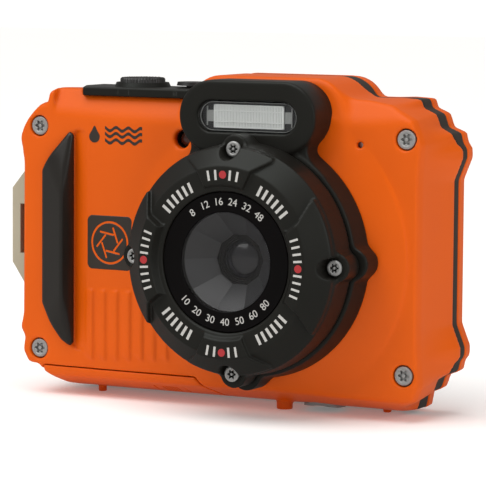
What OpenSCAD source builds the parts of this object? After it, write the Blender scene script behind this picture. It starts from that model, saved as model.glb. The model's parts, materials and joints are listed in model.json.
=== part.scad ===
// Waterproof action camera with a protruding lens port, flash hood, battery door and keys.
// X runs to the viewer's right when facing the lens, -Y is forward, +Z is up.
// The origin lies under the middle of the camera, on the surface that its feet stand on.

/* [Body] */
// Left edge of the body at the seam
body_left = -53.0; // [-53.4:0.1:-52.6]
// Right edge of the body at the seam
body_right = 53.7; // [53.4:0.1:54.0]
// Underside height above the standing surface
body_bottom = 1.0; // [0.9:0.05:1.2]
// Height of the flat shoulders
shoulder_z = 73.4; // [73.0:0.1:73.8]
// Height of the raised hump behind the flash
hump_z = 78.1; // [77.8:0.1:78.4]
// Thickness of the casing walls
wall = 2.0; // [1.9:0.05:2.1]

/* [Depth stations] */
// Front plane of the casing
front_y = -3.2; // [-3.3:0.05:-3.1]
// Front side of the seam between the shells
seam_y = 15.3; // [15.2:0.05:15.4]
// Rear side of the seam between the shells
seam_back_y = 18.1; // [18.0:0.05:18.2]
// Rear plane of the casing
back_y = 22.3; // [22.2:0.05:22.4]
// Tips of the rear keys
key_tip_y = 24.0; // [23.9:0.05:24.1]

/* [Lens port] */
// Lens axis, sideways
lens_x = 13.4; // [13.2:0.1:13.6]
// Lens axis, height
lens_z = 36.8; // [36.6:0.1:37.0]
// Radius of the black lens base where it meets the casing
base_r = 28.3; // [28.1:0.1:28.5]
// How far the front bezel reaches ahead of the origin
bezel_front = 24.0; // [23.9:0.05:24.1]
// Radius of the circle that the bezel screws sit on
bezel_screw_pcr = 25.8; // [25.75:0.05:25.9]
// Radius of the opening for the name ring
name_ring_r = 16.0; // [15.9:0.05:16.1]
// Radius of the clear port glass that shows
port_view_r = 11.3; // [11.1:0.1:11.5]

/* [Flash hood] */
// Middle of the hood, height
hood_z = 69.2; // [69.0:0.1:69.3]
// Half of the hood's width
hood_half_w = 17.2; // [17.0:0.1:17.3]
// Radius of the hood's round ends
hood_r = 8.0; // [7.9:0.05:8.1]

/* [Keys] */
// Running gap round a key
key_gap = 0.3; // [0.25:0.05:0.35]

/* [Battery door] */
// Height of the door's front seam
door_seam_z = 7.0; // [6.9:0.05:7.1]
// Gap round the door
door_gap = 0.25; // [0.2:0.05:0.3]

/* [Hidden] */
$fn = 64;

eps = 0.01;
orange = "#e2631c";
black = "#26231f";
steel = "#b9bbbd";
board_green = "#1f5a38";

// Corner screws: the four fasteners that clamp the two shells together
screw_left_x = -47.6;
screw_right_x = 49.0;
screw_low_z = 11.0;
screw_high_z = 64.8;
screw_head_r = 2.25;
screw_shank_r = 1.0;
screw_plane_y = -1.7;
CORNERS = [
    [screw_left_x, screw_low_z], [screw_right_x, screw_low_z],
    [screw_left_x, screw_high_z], [screw_right_x, screw_high_z]
];

// Stepped corner outline, as distances outward and away from the corner screw.
// reach is from the screw to the side wall, rise is from the screw to the top or bottom.
function corner_steps(reach, rise) = [
    [reach, -11.5], [7.5, -6.0], [7.3, -3.4], [5.4, 0.6], [3.6, 1.7], [1.6, 4.6],
    [-0.4, 5.4], [-2.2, rise - 1.1], [-4.6, rise - 0.7], [-6.8, rise + 0.4], [-10.8, rise]
];
function place(points, x, z, sx, sz) = [for (p = points) [x + sx * p[0], z + sz * p[1]]];
function backwards(list) = [for (i = [len(list) - 1 : -1 : 0]) list[i]];
right_reach = body_right - screw_right_x;
left_reach = screw_left_x - body_left;
top_rise = shoulder_z - screw_high_z;
bottom_rise = screw_low_z - body_bottom;
SEAM_OUTLINE = concat(
    place(backwards(corner_steps(right_reach, bottom_rise)), screw_right_x, screw_low_z, 1, -1),
    place(corner_steps(right_reach, top_rise), screw_right_x, screw_high_z, 1, 1),
    place(backwards(corner_steps(left_reach, top_rise)), screw_left_x, screw_high_z, -1, 1),
    place(corner_steps(left_reach, bottom_rise), screw_left_x, screw_low_z, -1, -1)
);
body_mid_x = (body_left + body_right) / 2;
body_mid_z = (body_bottom + shoulder_z) / 2;

// Draft of the casing: the outline shrinks towards the front and the back
edge_y = -2.0;
front_draft = 0.974;
edge_draft = 0.963;
back_edge_y = 20.8;
back_draft = 0.965;

// Hump behind the flash hood
hump_left = -7.0;
hump_right = 33.5;
hump_r = 8.0;
hump_front_y = -1.9;
hump_foot_z = 60.0;

// Bevels along the front's top and bottom edges, as [y, z] where each starts and ends
top_bevel = [[front_y, 67.4], [0.4, shoulder_z + 0.1]];
low_bevel = [[front_y, 5.3], [7.0, body_bottom]];

// Space inside the casing: a wide room between the corner posts and a tall one between them
room_wide = [-50.0, 17.0, 50.7, 58.5];
room_tall = [-44.2, 3.5, 44.5, 70.8];
room_front_y = front_y + wall;
room_back_y = back_y - wall;

// Strap pocket in the left wall
pocket_wall_x = -50.0;
lug_y = 0.3;
lug_thick = 2.0;
lug_outer_x = -56.5;

// Orange seat round the lens base
seat_r = 35.0;
seat_front = 4.7;

// Battery door
door_left_x = -46.2;
door_right_top_x = -4.2;
door_right_low_x = 0.4;
hinge_y = 12.6;
hinge_z = 2.25;
hinge_r = 1.25;
door_pin_r = 0.6;
door_back_y = 11.0;
hinge_left_x = -41.0;
hinge_right_x = -0.2;
hinge_ear = 3.4;
door_pin_length = hinge_right_x - hinge_left_x - 1.2;
knuckle_left_x = hinge_left_x + hinge_ear + 0.3;
knuckle_right_x = hinge_right_x - hinge_ear - 0.3;
running_gap = 0.05;
chamfer_angle = 23.05;

// Stations along the lens axis, as distances forward of the origin
base_front = 11.0;
bezel_back = 11.5;
screw_seat = 17.2;
glass_front = 18.6;
barrel_r = 16.0;
barrel_bore_r = 13.0;

// Keys on the back: name, x, z and radius
key_low_z = 20.8;
key_high_z = 50.0;
pad_x = -34.5;
pad_z = 35.5;
pad_r = 9.0;
ok_r = 4.0;
small_key_r = 2.6;
switch_front_y = 17.3;
rocker_x = -34.0;
rocker_z = 64.0;
rocker_w = 13.0;
rocker_h = 6.4;
rocker_axis_y = 21.3;
rocker_pin_r = 0.6;

// Keys on the top
plate_top_z = 74.5;
plate_seat_z = 72.4;
shutter_x = -25.0;
shutter_y = 8.5;
power_x = -11.4;
stem_low_z = 68.4;

// Lets a flat outline in X and Z run along Y
module along_y(y0, length) {
    translate([0, y0 + length, 0]) rotate([90, 0, 0]) linear_extrude(length) children();
}
// Lets a flat outline in Y and Z run along X
module along_x(x0, length) {
    translate([x0, 0, 0]) rotate([90, 0, 90]) linear_extrude(length) children();
}
// Round bar along Y
module bar_y(x, z, y0, y1, r) {
    translate([x, y1, z]) rotate([90, 0, 0]) cylinder(h = y1 - y0, r = r);
}
// Solid turned about the lens axis from [radius, forward distance] points
module turned(points) {
    translate([lens_x, 0, lens_z]) rotate([90, 0, 0]) rotate_extrude($fn = 128) polygon(points);
}
// Plain box from its lowest to its highest corner
module block(low, high) {
    translate(low) cube(high - low);
}
module room_outline(inset) {
    for (r = [room_wide, room_tall])
        translate([r[0] + inset, r[1] + inset])
            square([r[2] - r[0] - 2 * inset, r[3] - r[1] - 2 * inset]);
}
module stadium(half_w, r) {
    square([2 * (half_w - r), 2 * r], center = true);
    for (s = [-1, 1]) translate([s * (half_w - r), 0]) circle(r = r);
}
module hood_outline() {
    translate([lens_x, hood_z]) stadium(hood_half_w, hood_r);
}
module hump_outline(inset) {
    top = hump_z - inset;
    left = hump_left + inset;
    right = hump_right - inset;
    translate([left, hump_foot_z]) square([right - left, top - hump_r - hump_foot_z]);
    translate([left + hump_r, hump_foot_z]) square([right - left - 2 * hump_r, top - hump_foot_z]);
    for (x = [left + hump_r, right - hump_r]) translate([x, top - hump_r]) circle(r = hump_r);
}
// Seam outline tapering from y0 towards y1, shrinking by the factor k about its middle
module drafted(y0, y1, k, start = 1) {
    turn = y1 < y0 ? 90 : -90;
    flip = y1 < y0 ? 1 : -1;
    translate([body_mid_x, y0, body_mid_z]) rotate([turn, 0, 0])
        linear_extrude(height = abs(y1 - y0), scale = k)
            scale([start, start * flip]) translate([-body_mid_x, -body_mid_z]) polygon(SEAM_OUTLINE);
}
// Half-space outside a bevel line, moved inward by depth; side is 1 above and -1 below the body
module beyond_bevel(line, side, depth) {
    run = line[1] - line[0];
    unit = run / norm(run);
    inward = side * depth * [unit[1], -unit[0]];
    low = line[0] - 3 * unit + inward;
    high = line[1] + (depth > 0 ? 3 : 0) * unit + inward;
    along_x(-70, 140) polygon([low, high, [high[0], side * 90], [low[0], side * 90]]);
}
module front_bevels(depth = 0) {
    beyond_bevel(top_bevel, 1, depth);
    beyond_bevel(low_bevel, -1, depth);
}
// The lower left corner of the front is cut back round its screw
module lower_left_cut() {
    along_y(front_y - 1, seam_y - front_y + 1)
        polygon([[-60, -2], [-60, 6.6], [-46.6, 6.4], [-41.5, 2.4], [-38.0, body_bottom], [-38.0, -2]]);
}
// Outside of the front half of the casing, before anything is cut out of it
module front_blank() {
    difference() {
        union() {
            drafted(seam_y, edge_y, front_draft);
            drafted(edge_y, front_y, edge_draft, front_draft);
            turned([[0, 3.0], [seat_r, 3.0], [base_r + 0.2, seat_front], [0, seat_front]]);
        }
        front_bevels();
        lower_left_cut();
    }
    along_y(hump_front_y, seam_y - hump_front_y) hump_outline(0);
}
// Region that belongs to the battery door; grow widens it for the gap in the casing
module door_region(grow) {
    along_y(front_y - 2, door_back_y + grow - front_y + 2) polygon([
        [door_left_x - grow, -3], [door_left_x - grow, door_seam_z + grow],
        [door_right_top_x + grow, door_seam_z + grow], [door_right_low_x + grow, 2.0],
        [door_right_low_x + grow, -3]
    ]);
    block([hinge_left_x, door_back_y - 1, -3],
          [hinge_right_x, hinge_y + hinge_r + 0.1 + grow, hinge_z + hinge_r + grow]);
}
// Space inside the front shell, kept one wall away from the bevels
module front_room() {
    difference() {
        along_y(room_front_y, seam_y - room_front_y + eps) room_outline(0);
        front_bevels(wall - 0.3);
    }
}
module corner_pads() {
    for (c = CORNERS) bar_y(c[0], c[1], front_y - 1, screw_plane_y - 0.2, 3.6);
}
module door_hinge_ears() {
    for (x = [hinge_left_x - eps, hinge_right_x - hinge_ear + eps])
        difference() {
            union() {
                translate([x, hinge_y, hinge_z]) rotate([0, 90, 0]) cylinder(h = hinge_ear, r = hinge_r);
                block([x, hinge_y, hinge_z - hinge_r],
                      [x + hinge_ear, hinge_y + hinge_r + 0.6, hinge_z + hinge_r]);
            }
            translate([hinge_left_x + 0.6, hinge_y, hinge_z]) rotate([0, 90, 0])
                cylinder(h = door_pin_length, r = door_pin_r);
        }
}

module front_shell() {
    color(orange) {
        difference() {
            front_blank();
            front_room();
            along_y(0.2, seam_y - 0.2 + eps) hump_outline(wall);
            along_y(-20, 20 + hump_front_y) hood_outline();
            bar_y(lens_x, lens_z, -10, 5, 20.0);
            door_region(door_gap);
            corner_pads();
            for (c = CORNERS) {
                bar_y(c[0], c[1], -5, screw_plane_y + 1.1, screw_head_r + 0.15);
                bar_y(c[0], c[1], -5, seam_y + 1, screw_shank_r + 0.1);
            }
            block([-40, -1.9, plate_seat_z], [hump_left + eps, 14.8, 80]);
            translate([shutter_x, shutter_y, 60]) cylinder(h = 20, r = 2.3);
            translate([power_x, shutter_y, 60]) cylinder(h = 20, r = 1.8);
            bar_y(-8.4, 63.4, -5, 0, 2.15);
            bar_y(37.8, 63.2, -5, 0, 0.65);
            for (i = [-1 : 1]) translate([16.6 + 1.85 * i, 4.5, 74]) cylinder(h = 6, r = 0.4);
            block([-60, -0.9, 25.2], [pocket_wall_x, 4.7, 54.7]);
            translate([24, 9.5, -1]) cylinder(h = 6, r = 5.0);
        }
        block([lug_outer_x + 0.1, 4.8, 32], [pocket_wall_x + 1, 9.5, 47]);
        translate([15.5, 6.6, 0]) cylinder(h = 3.6, r = 1.9);
        translate([38.0, 12.5, 0]) cylinder(h = 2.0, r = 1.0);
        door_hinge_ears();
    }
}

module rear_shell() {
    window = [-16.5, 15.0, 43.5, 61.0];
    color(orange) {
        difference() {
            union() {
                drafted(seam_back_y, back_edge_y, 1);
                drafted(back_edge_y, back_y, back_draft);
                along_y(seam_back_y, back_edge_y - seam_back_y) hump_outline(0);
                along_y(back_edge_y, back_y - back_edge_y) hump_outline(1.2);
            }
            along_y(seam_back_y - eps, room_back_y - seam_back_y) room_outline(0);
            along_y(seam_back_y - eps, room_back_y - seam_back_y) hump_outline(wall);
            for (c = CORNERS) bar_y(c[0], c[1], seam_back_y - 1, back_y - 1.2, screw_shank_r);
            block([window[0], 21.0, window[1]], [window[2], 30, window[3]]);
            block([-13, 19, 20], [39.5, 30, 56]);
            for (x = [-41, -28]) {
                bar_y(x, key_low_z, 19, 30, small_key_r + key_gap);
                bar_y(x, key_high_z, 19, 30, small_key_r + key_gap);
            }
            bar_y(pad_x, pad_z, 19, 30, pad_r + key_gap);
            block([rocker_x - rocker_w / 2 - 0.4, 19, rocker_z - rocker_h / 2 - 0.4],
                  [rocker_x + rocker_w / 2 + 0.4, 30, rocker_z + rocker_h / 2 + 0.4]);
            translate([rocker_x, rocker_axis_y, rocker_z - 5]) cylinder(h = 10, r = rocker_pin_r);
            bar_y(-20.5, 64.0, 19, 30, 0.9);
        }
        for (x = [-38, 40]) translate([x, 20.0, 0]) cylinder(h = 2.0, r = 1.4);
    }
}

module shell_gasket() {
    color(black) difference() {
        union() {
            translate([body_mid_x, 0, body_mid_z]) along_y(seam_y, seam_back_y - seam_y)
                scale(0.99) translate([-body_mid_x, -body_mid_z]) polygon(SEAM_OUTLINE);
            along_y(seam_y, seam_back_y - seam_y) hump_outline(0.4);
        }
        along_y(seam_y - 1, seam_back_y - seam_y + 2) room_outline(0);
        along_y(seam_y - 1, seam_back_y - seam_y + 2) hump_outline(wall);
        for (c = CORNERS) bar_y(c[0], c[1], seam_y - 1, seam_back_y + 1, screw_shank_r + 0.1);
    }
}

module top_plate() {
    color(black) difference() {
        along_y(-1.9, 16.7 - 0.1) polygon([
            [-39.6, plate_seat_z], [hump_left, plate_seat_z], [hump_left, plate_top_z],
            [-36.2, plate_top_z], [-39.6, plate_seat_z + 0.9]
        ]);
        translate([shutter_x, shutter_y, 70]) cylinder(h = 8, r = 2.3);
        translate([power_x, shutter_y, 70]) cylinder(h = 8, r = 1.8);
    }
}

module shutter_collar() {
    color(black) translate([shutter_x, shutter_y, plate_top_z]) difference() {
        cylinder(h = 1.0, r1 = 6.75, r2 = 6.3);
        translate([0, 0, -1]) cylinder(h = 3, r = 5.75);
    }
}

module grip_pad() {
    ridge_x = -40.7;
    ridge_y = -5.6;
    color(black) hull() {
        along_y(front_y - 0.2, 0.2) polygon([
            [-37.7, 12.5], [-37.7, 62.9], [-39.4, 63.8], [-46.3, 54.2], [-46.3, 22.8], [-39.0, 11.9]
        ]);
        along_y(ridge_y, 0.2) polygon([
            [ridge_x, 17], [ridge_x + 0.5, 17], [ridge_x + 0.5, 57], [ridge_x, 57]
        ]);
    }
}

module front_badge() {
    color(black) along_y(front_y - 0.25, 0.25) polygon([
        [-33.6, 31.2], [-21.2, 31.2], [-21.2, 44.1], [-33.6, 44.1]
    ]);
}

module lens_base() {
    color(black) difference() {
        union() {
            turned([[20.2, seat_front], [base_r, seat_front], [27.4, base_front], [20.2, base_front]]);
            along_y(-11.7, 11.7 + hump_front_y) hood_outline();
            for (a = [0 : 90 : 270])
                bar_y(lens_x + 26.8 * cos(a), lens_z + 26.8 * sin(a), -base_front, -seat_front, 3.6);
        }
        bar_y(lens_x, lens_z, -30, 10, 20.2);
        turned([[0, 0], [seat_r - 1, 0], [seat_r - 1, seat_front], [0, seat_front]]);
        translate([lens_x, 0, hood_z]) along_y(-20, 20 - 4.6) stadium(12.7, 3.65);
        turned([[20, base_front], [27.0, base_front], [27.0, 14], [20, 14]]);
        bar_y(lens_x, lens_z + bezel_screw_pcr, -14, -base_front, 3.5);
        bezel_screw_holes(7.5, 0.95);
    }
}
module bezel_screw_holes(from, r) {
    for (a = [0 : 90 : 270])
        bar_y(lens_x + bezel_screw_pcr * cos(a), lens_z + bezel_screw_pcr * sin(a), -30, -from, r);
}

// Raised part of the bezel: a ring of the given section, kept where the outline is
module bezel_sector(section, outline) {
    intersection() {
        turned(section);
        translate([lens_x, 0, lens_z]) along_y(-30, 14) polygon(outline);
    }
}
module lens_bezel() {
    face = 21.8;
    tray_face = 22.8;
    root = 18.0;
    flank = [[15.6, 7.7], [18.9, 10.3], [21.6, 14.8], [30, 18]];
    crown = [[4.9, 17.4], [7.0, 21.4], [11.2, 24], [11.2, 29]];
    back_to_first = [3 : -1 : 0];
    color(black) difference() {
        union() {
            turned([
                [name_ring_r + 0.1, 20.2], [name_ring_r + 0.1, 21.4], [16.6, face], [21.6, face],
                [26.2, 18.2], [26.7, bezel_back], [20.4, bezel_back], [20.4, 20.2]
            ]);
            for (s = [-1, 1]) {
                bezel_sector(
                    [
                        [17.0, root], [17.0, 21.5], [17.9, bezel_front],
                        [21.0, bezel_front], [25.8, 20.0], [26.0, root]
                    ],
                    concat([for (p = flank) [s * p[0], p[1]]],
                           [for (i = back_to_first) [s * flank[i][0], -flank[i][1]]])
                );
                bezel_sector(
                    [
                        [16.9, root], [16.9, 21.5], [17.6, tray_face],
                        [21.9, tray_face], [25.9, 19.3], [26.1, root]
                    ],
                    concat([for (p = crown) [p[0], s * p[1]]],
                           [for (i = back_to_first) [-crown[i][0], s * crown[i][1]]])
                );
            }
            for (a = [0 : 90 : 270])
                bar_y(lens_x + bezel_screw_pcr * cos(a), lens_z + bezel_screw_pcr * sin(a),
                      -screw_seat, -bezel_back, 3.3);
        }
        for (a = [0 : 90 : 270])
            bar_y(lens_x + bezel_screw_pcr * cos(a), lens_z + bezel_screw_pcr * sin(a),
                  -30, -screw_seat, 2.3);
        bezel_screw_holes(bezel_back - 1, 1.05);
    }
}
module bezel_seal() {
    color("#121110")
        turned([[21.0, base_front], [24.6, base_front], [24.6, bezel_back], [21.0, bezel_back]]);
}

module torx_screw(head_r, head_h, shank_r, length) {
    difference() {
        union() {
            cylinder(h = head_h, r = head_r);
            translate([0, 0, -length]) cylinder(h = length + eps, r = shank_r);
        }
        translate([0, 0, head_h - 0.5]) cylinder(h = 1, r = head_r * 0.5, $fn = 6);
    }
}

module bezel_screws() {
    color(steel) for (a = [0 : 90 : 270])
        translate([lens_x + bezel_screw_pcr * cos(a), -screw_seat, lens_z + bezel_screw_pcr * sin(a)])
            rotate([90, 0, 0]) torx_screw(1.9, 0.8, 0.93, 9.5);
}

module corner_screws() {
    color(steel) for (c = CORNERS)
        translate([c[0], screw_plane_y + 1.1, c[1]])
            rotate([90, 0, 0]) torx_screw(screw_head_r, 1.1, 0.98, 20.5);
}

module name_ring() {
    color("#0c0b0b") turned([
        [port_view_r, 21.5], [name_ring_r, 21.5], [name_ring_r, 20.2],
        [13.2, 20.2], [13.2, glass_front], [10.9, glass_front]
    ]);
}

module port_glass() {
    color("#8fa3ad", 0.35)
        turned([[0, 17.0], [13.3, 17.0], [13.3, glass_front], [0, glass_front]]);
}

module port_seal() {
    color("#151515")
        turned([[13.3, 17.0], [15.1, 17.0], [15.1, glass_front], [13.3, glass_front]]);
}

module lens_barrel() {
    color("#1b1b1c") difference() {
        turned([
            [12.0, 16.0], [12.0, 17.0], [15.1, 17.0], [15.1, 19.6], [barrel_r, 19.6], [barrel_r, 4.6],
            [19.4, 4.6], [19.4, 2.6], [barrel_r, 2.6], [barrel_r, -11.6], [8.0, -11.6], [8.0, -10.6],
            [barrel_bore_r, -10.6], [barrel_bore_r, 16.0]
        ]);
        for (a = [45, 225])
            bar_y(lens_x + 11.4 * cos(a), lens_z + 11.4 * sin(a), 10, 12, 0.6);
    }
}

module lens_cell(y0, y1, cell_r, glass_r, hole_r) {
    difference() {
        bar_y(lens_x, lens_z, y0, y1, cell_r);
        bar_y(lens_x, lens_z, y0 - 1, y1 + 1, glass_r);
        for (a = [45, 225])
            bar_y(lens_x + 11.4 * cos(a), lens_z + 11.4 * sin(a), y0 - 1, y1 + 1, hole_r);
    }
}
module lens_disc(y0, y1, r, dome) {
    intersection() {
        bar_y(lens_x, lens_z, y0, y1, r);
        translate([lens_x, y0 + dome, lens_z]) sphere(r = dome, $fn = 96);
    }
}

module front_element() {
    color("#54626c", 0.4) lens_disc(-15.8, -12.2, 11.0, 24);
    color("#1b1b1c") difference() {
        bar_y(lens_x, lens_z, -15.9, -11.6, 12.95);
        bar_y(lens_x, lens_z, -17, -10, 11.0);
    }
}

module guide_rods() {
    color(steel) for (a = [45, 225])
        bar_y(lens_x + 11.4 * cos(a), lens_z + 11.4 * sin(a), -11.4, 11.4, 0.6);
}

module zoom_group() {
    color("#242426") lens_cell(-8, -2.6, 12.6, 8.0, 0.6 + running_gap);
    color("#5d7080", 0.4) lens_disc(-7.6, -3.2, 8.0, 20);
}

module focus_group() {
    color("#242426") lens_cell(6.4, 8.6, 12.6, 7.0, 0.6 + running_gap);
    color("#5d7080", 0.4) lens_disc(6.6, 8.4, 7.0, 30);
}

module zoom_motor() {
    color("#8a8a8c") {
        bar_y(-6.4, lens_z, 0.5, 9.0, 3.0);
        bar_y(-6.4, lens_z, 9.0, 12.5, 0.8);
    }
}

module sensor_board() {
    color(board_green) block([0.5, 12.9, 24.0], [26.3, 13.7, 49.6]);
}

module image_sensor() {
    color("#33383f") block([lens_x - 5, 11.9, lens_z - 4.4], [lens_x + 5, 12.9, lens_z + 4.4]);
}

module main_board() {
    color(board_green) block([-9, 15.5, 5], [41.4, 16.6, 69]);
    color("#1c1c1e") for (z = [12, 32, 52]) block([2, 14.3, z], [14, 15.5, z + 10]);
}

module chassis() {
    color("#a7a9ab") difference() {
        along_y(17.3, 0.7) intersection() {
            room_outline(0.6);
            translate([-18, 0]) square([80, 90]);
        }
        block([-8, 17, 14], [8, 19, 30]);
        block([14, 17, 40], [34, 19, 56]);
    }
}

module lcd_panel() {
    color("#3a3f45") block([-15, 18.5, 17.6], [41.5, 20.1, 58.0]);
}

module lcd_window() {
    color("#101214", 0.8) block([-16.2, 21.05, 15.3], [43.2, 22.7, 60.7]);
}

module battery_case() {
    color("#2b2b2d") difference() {
        block([-45.4, 4.0, 17.4], [-12.2, 14.0, 51.0]);
        block([-44.0, 5.2, 10], [-13.4, 12.8, 49.5]);
    }
}

module battery() {
    color("#4a4d55") block([-43.8, 5.4, 9.0], [-13.6, 12.6, 49.3]);
}

module card_slot() {
    color("#9a9da0") difference() {
        block([-45.5, 14.2, 20], [-19.5, 17.2, 42]);
        block([-44.3, 14.7, 10], [-20.1, 16.9, 41]);
    }
}

module memory_card() {
    color("#1f2a4a") block([-44.2, 14.75, 17.6], [-20.2, 16.85, 40.8]);
}

module usb_port() {
    color(steel) difference() {
        block([-10.4, 3.0, 7.8], [-1.6, 6.4, 14.0]);
        block([-9.6, 3.6, 7.0], [-2.4, 5.8, 13.4]);
    }
}

module flash_window() {
    color("#dfe6ea", 0.5) translate([lens_x, 0, hood_z]) along_y(-11.5, 1.1) stadium(12.5, 3.45);
}

module flash_reflector() {
    color("#d5d8da") difference() {
        block([lens_x - 10.4, -10.2, hood_z - 3.2], [lens_x + 10.4, -5.0, hood_z + 3.2]);
        along_x(lens_x - 9.8, 19.6) polygon([
            [-11, hood_z - 2.8], [-11, hood_z + 2.8], [-7.2, hood_z + 1.8],
            [-5.6, hood_z + 1.2], [-5.6, hood_z - 1.2], [-7.2, hood_z - 1.8]
        ]);
    }
}

module flash_tube() {
    color("#f2f2ee") translate([lens_x - 9.7, -7.2, hood_z]) rotate([0, 90, 0])
        cylinder(h = 19.4, r = 0.9);
}

module flash_capacitor() {
    color("#30343c") translate([-4.0, 8.5, 65.9]) rotate([0, 90, 0]) cylinder(h = 27, r = 4.2);
}

module af_lamp() {
    color("#5a2418") bar_y(-8.4, 63.4, -2.4, -1.0, 2.15);
}

module microphone() {
    color(steel) bar_y(37.8, 63.2, room_front_y, 1.6, 2.2);
}

module speaker() {
    color("#2f2f31") translate([16.6, 6.0, 72.2]) cylinder(h = 3.4, r = 4.6);
}

module top_switches() {
    color(board_green) block([-33, 3.0, 66.4], [-6.6, 14.0, 67.2]);
    color(steel) for (x = [shutter_x, power_x])
        translate([x, shutter_y, 67.2]) cylinder(h = 0.5, r = 2.2);
}

module rear_switches() {
    color(board_green) along_y(switch_front_y, 0.7) intersection() {
        room_outline(0.6);
        translate([-60, 0]) square([41, 90]);
    }
    color(steel) {
        for (x = [-41, -28], z = [key_low_z, key_high_z]) bar_y(x, z, 18.0, 18.3, 1.8);
        bar_y(pad_x, pad_z, 18.0, 18.3, 2.0);
        for (a = [0 : 90 : 270])
            bar_y(pad_x + 6.6 * cos(a), pad_z + 6.6 * sin(a), 18.0, 18.3, 1.5);
    }
}

module status_lamp() {
    color("#3f7f45") bar_y(-20.5, 64.0, 20.6, 22.5, 0.9);
}

module tripod_socket() {
    color(steel) difference() {
        translate([24, 9.5, body_bottom]) difference() {
            cylinder(h = 4.0, r = 5.0);
            translate([0, 0, -1]) cylinder(h = 4.4, r = 3.175);
        }
        front_bevels();
    }
}

module strap_lug() {
    color("#bfb198") along_y(lug_y, lug_thick) difference() {
        polygon([
            [pocket_wall_x, 25.5], [-53, 26.3], [lug_outer_x, 31.4],
            [lug_outer_x, 49.4], [-53, 53.6], [pocket_wall_x, 54.4]
        ]);
        translate([-54.3, 33.6]) square([8, 12.0]);
    }
}

module door_pin() {
    color(steel) translate([hinge_left_x + 0.6, hinge_y, hinge_z]) rotate([0, 90, 0])
        cylinder(h = door_pin_length, r = door_pin_r);
}

module rocker_pin() {
    color(steel) translate([rocker_x, rocker_axis_y, rocker_z - 5]) cylinder(h = 10, r = rocker_pin_r);
}

module latch_place(x) {
    translate([x, 2.3, 3.0]) rotate([-chamfer_angle, 0, 0]) children();
}

module battery_door() {
    color(orange) {
        difference() {
            intersection() {
                front_blank();
                door_region(0);
            }
            block([-60, door_back_y, -5], [10, 30, 20]);
            along_x(-40.4, 34.2) polygon([
                [room_front_y, 9], [room_front_y, 6.4], [7.6, 2.9],
                [door_back_y - 1.2, 2.9], [door_back_y - 1.2, 9]
            ]);
            latch_place(-17.3) translate([0, -2.3, -3]) cube([11.6, 4.6, 3.95]);
        }
        difference() {
            union() {
                translate([knuckle_left_x, hinge_y, hinge_z]) rotate([0, 90, 0])
                    cylinder(h = knuckle_right_x - knuckle_left_x, r = hinge_r);
                block([knuckle_left_x, door_back_y - 0.1, body_bottom],
                      [knuckle_right_x, hinge_y, hinge_z + 1.0]);
            }
            translate([-50, hinge_y, hinge_z]) rotate([0, 90, 0])
                cylinder(h = 60, r = door_pin_r + running_gap);
        }
        translate([-36.0, 8.4, 0]) cylinder(h = 2.0, r = 1.5);
    }
}

module door_seal() {
    color("#8a8f94") difference() {
        block([-40.3, -1.1, 6.45], [-6.3, 9.7, 7.1]);
        block([-39.2, 0.0, 6.0], [-7.4, 8.6, 8.0]);
    }
}

module door_latch() {
    color(orange) latch_place(-14.0) {
        translate([0, -2.0, -0.2]) cube([8, 4.0, 0.95]);
        for (i = [0 : 3]) translate([1.5 + 1.6 * i, -1.5, -0.55]) cube([0.6, 3.0, 0.5]);
    }
}

// Round key on the back with a retaining flange inside the casing
module back_key(x, z, r, tip_y) {
    bar_y(x, z, 18.9, tip_y, r);
    bar_y(x, z, 19.2, 20.0, r + 0.8);
}

module shutter_button() {
    color(black) translate([shutter_x, shutter_y, 0]) {
        translate([0, 0, 75.4]) cylinder(h = 1.3, r1 = 5.4, r2 = 5.0);
        translate([0, 0, stem_low_z]) cylinder(h = 75.4 - stem_low_z + eps, r = 2.0);
        translate([0, 0, 69.6]) cylinder(h = 0.8, r = 3.2);
    }
}

module power_button() {
    color(black) translate([power_x, shutter_y, 0]) {
        translate([0, 0, 75.05]) cylinder(h = 0.85, r1 = 3.8, r2 = 3.6);
        translate([0, 0, stem_low_z]) cylinder(h = 75.05 - stem_low_z + eps, r = 1.5);
        translate([0, 0, 69.6]) cylinder(h = 0.8, r = 2.6);
    }
}

module play_button() { color(black) back_key(-41, key_high_z, small_key_r, 23.2); }
module video_button() { color("#b02020") back_key(-28, key_high_z, small_key_r, 23.2); }
module menu_button() { color(black) back_key(-41, key_low_z, small_key_r, 23.2); }
module delete_button() { color(black) back_key(-28, key_low_z, small_key_r, 23.2); }

module direction_pad() {
    color(black) difference() {
        union() {
            bar_y(pad_x, pad_z, 19.2, 23.4, pad_r);
            bar_y(pad_x, pad_z, 19.2, 20.0, pad_r + 0.7);
        }
        bar_y(pad_x, pad_z, 10, 30, ok_r + key_gap);
    }
}

module ok_button() { color(black) bar_y(pad_x, pad_z, 18.9, key_tip_y, ok_r); }

module zoom_rocker() {
    color(black) difference() {
        translate([rocker_x, 0, rocker_z]) along_y(20.5, 3.3) stadium(rocker_w / 2, rocker_h / 2);
        translate([rocker_x, rocker_axis_y, rocker_z - 5])
            cylinder(h = 10, r = rocker_pin_r + running_gap);
    }
}

front_shell();
rear_shell();
shell_gasket();
top_plate();
shutter_collar();
grip_pad();
front_badge();
lens_base();
lens_bezel();
bezel_seal();
bezel_screws();
name_ring();
port_glass();
port_seal();
lens_barrel();
front_element();
guide_rods();
zoom_motor();
sensor_board();
image_sensor();
chassis();
main_board();
lcd_panel();
lcd_window();
battery_case();
battery();
card_slot();
memory_card();
usb_port();
flash_window();
flash_reflector();
flash_tube();
flash_capacitor();
af_lamp();
microphone();
speaker();
top_switches();
rear_switches();
status_lamp();
corner_screws();
tripod_socket();
strap_lug();
door_pin();
rocker_pin();
battery_door();
door_seal();
door_latch();
shutter_button();
power_button();
play_button();
video_button();
menu_button();
delete_button();
direction_pad();
ok_button();
zoom_rocker();
zoom_group();
focus_group();
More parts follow.
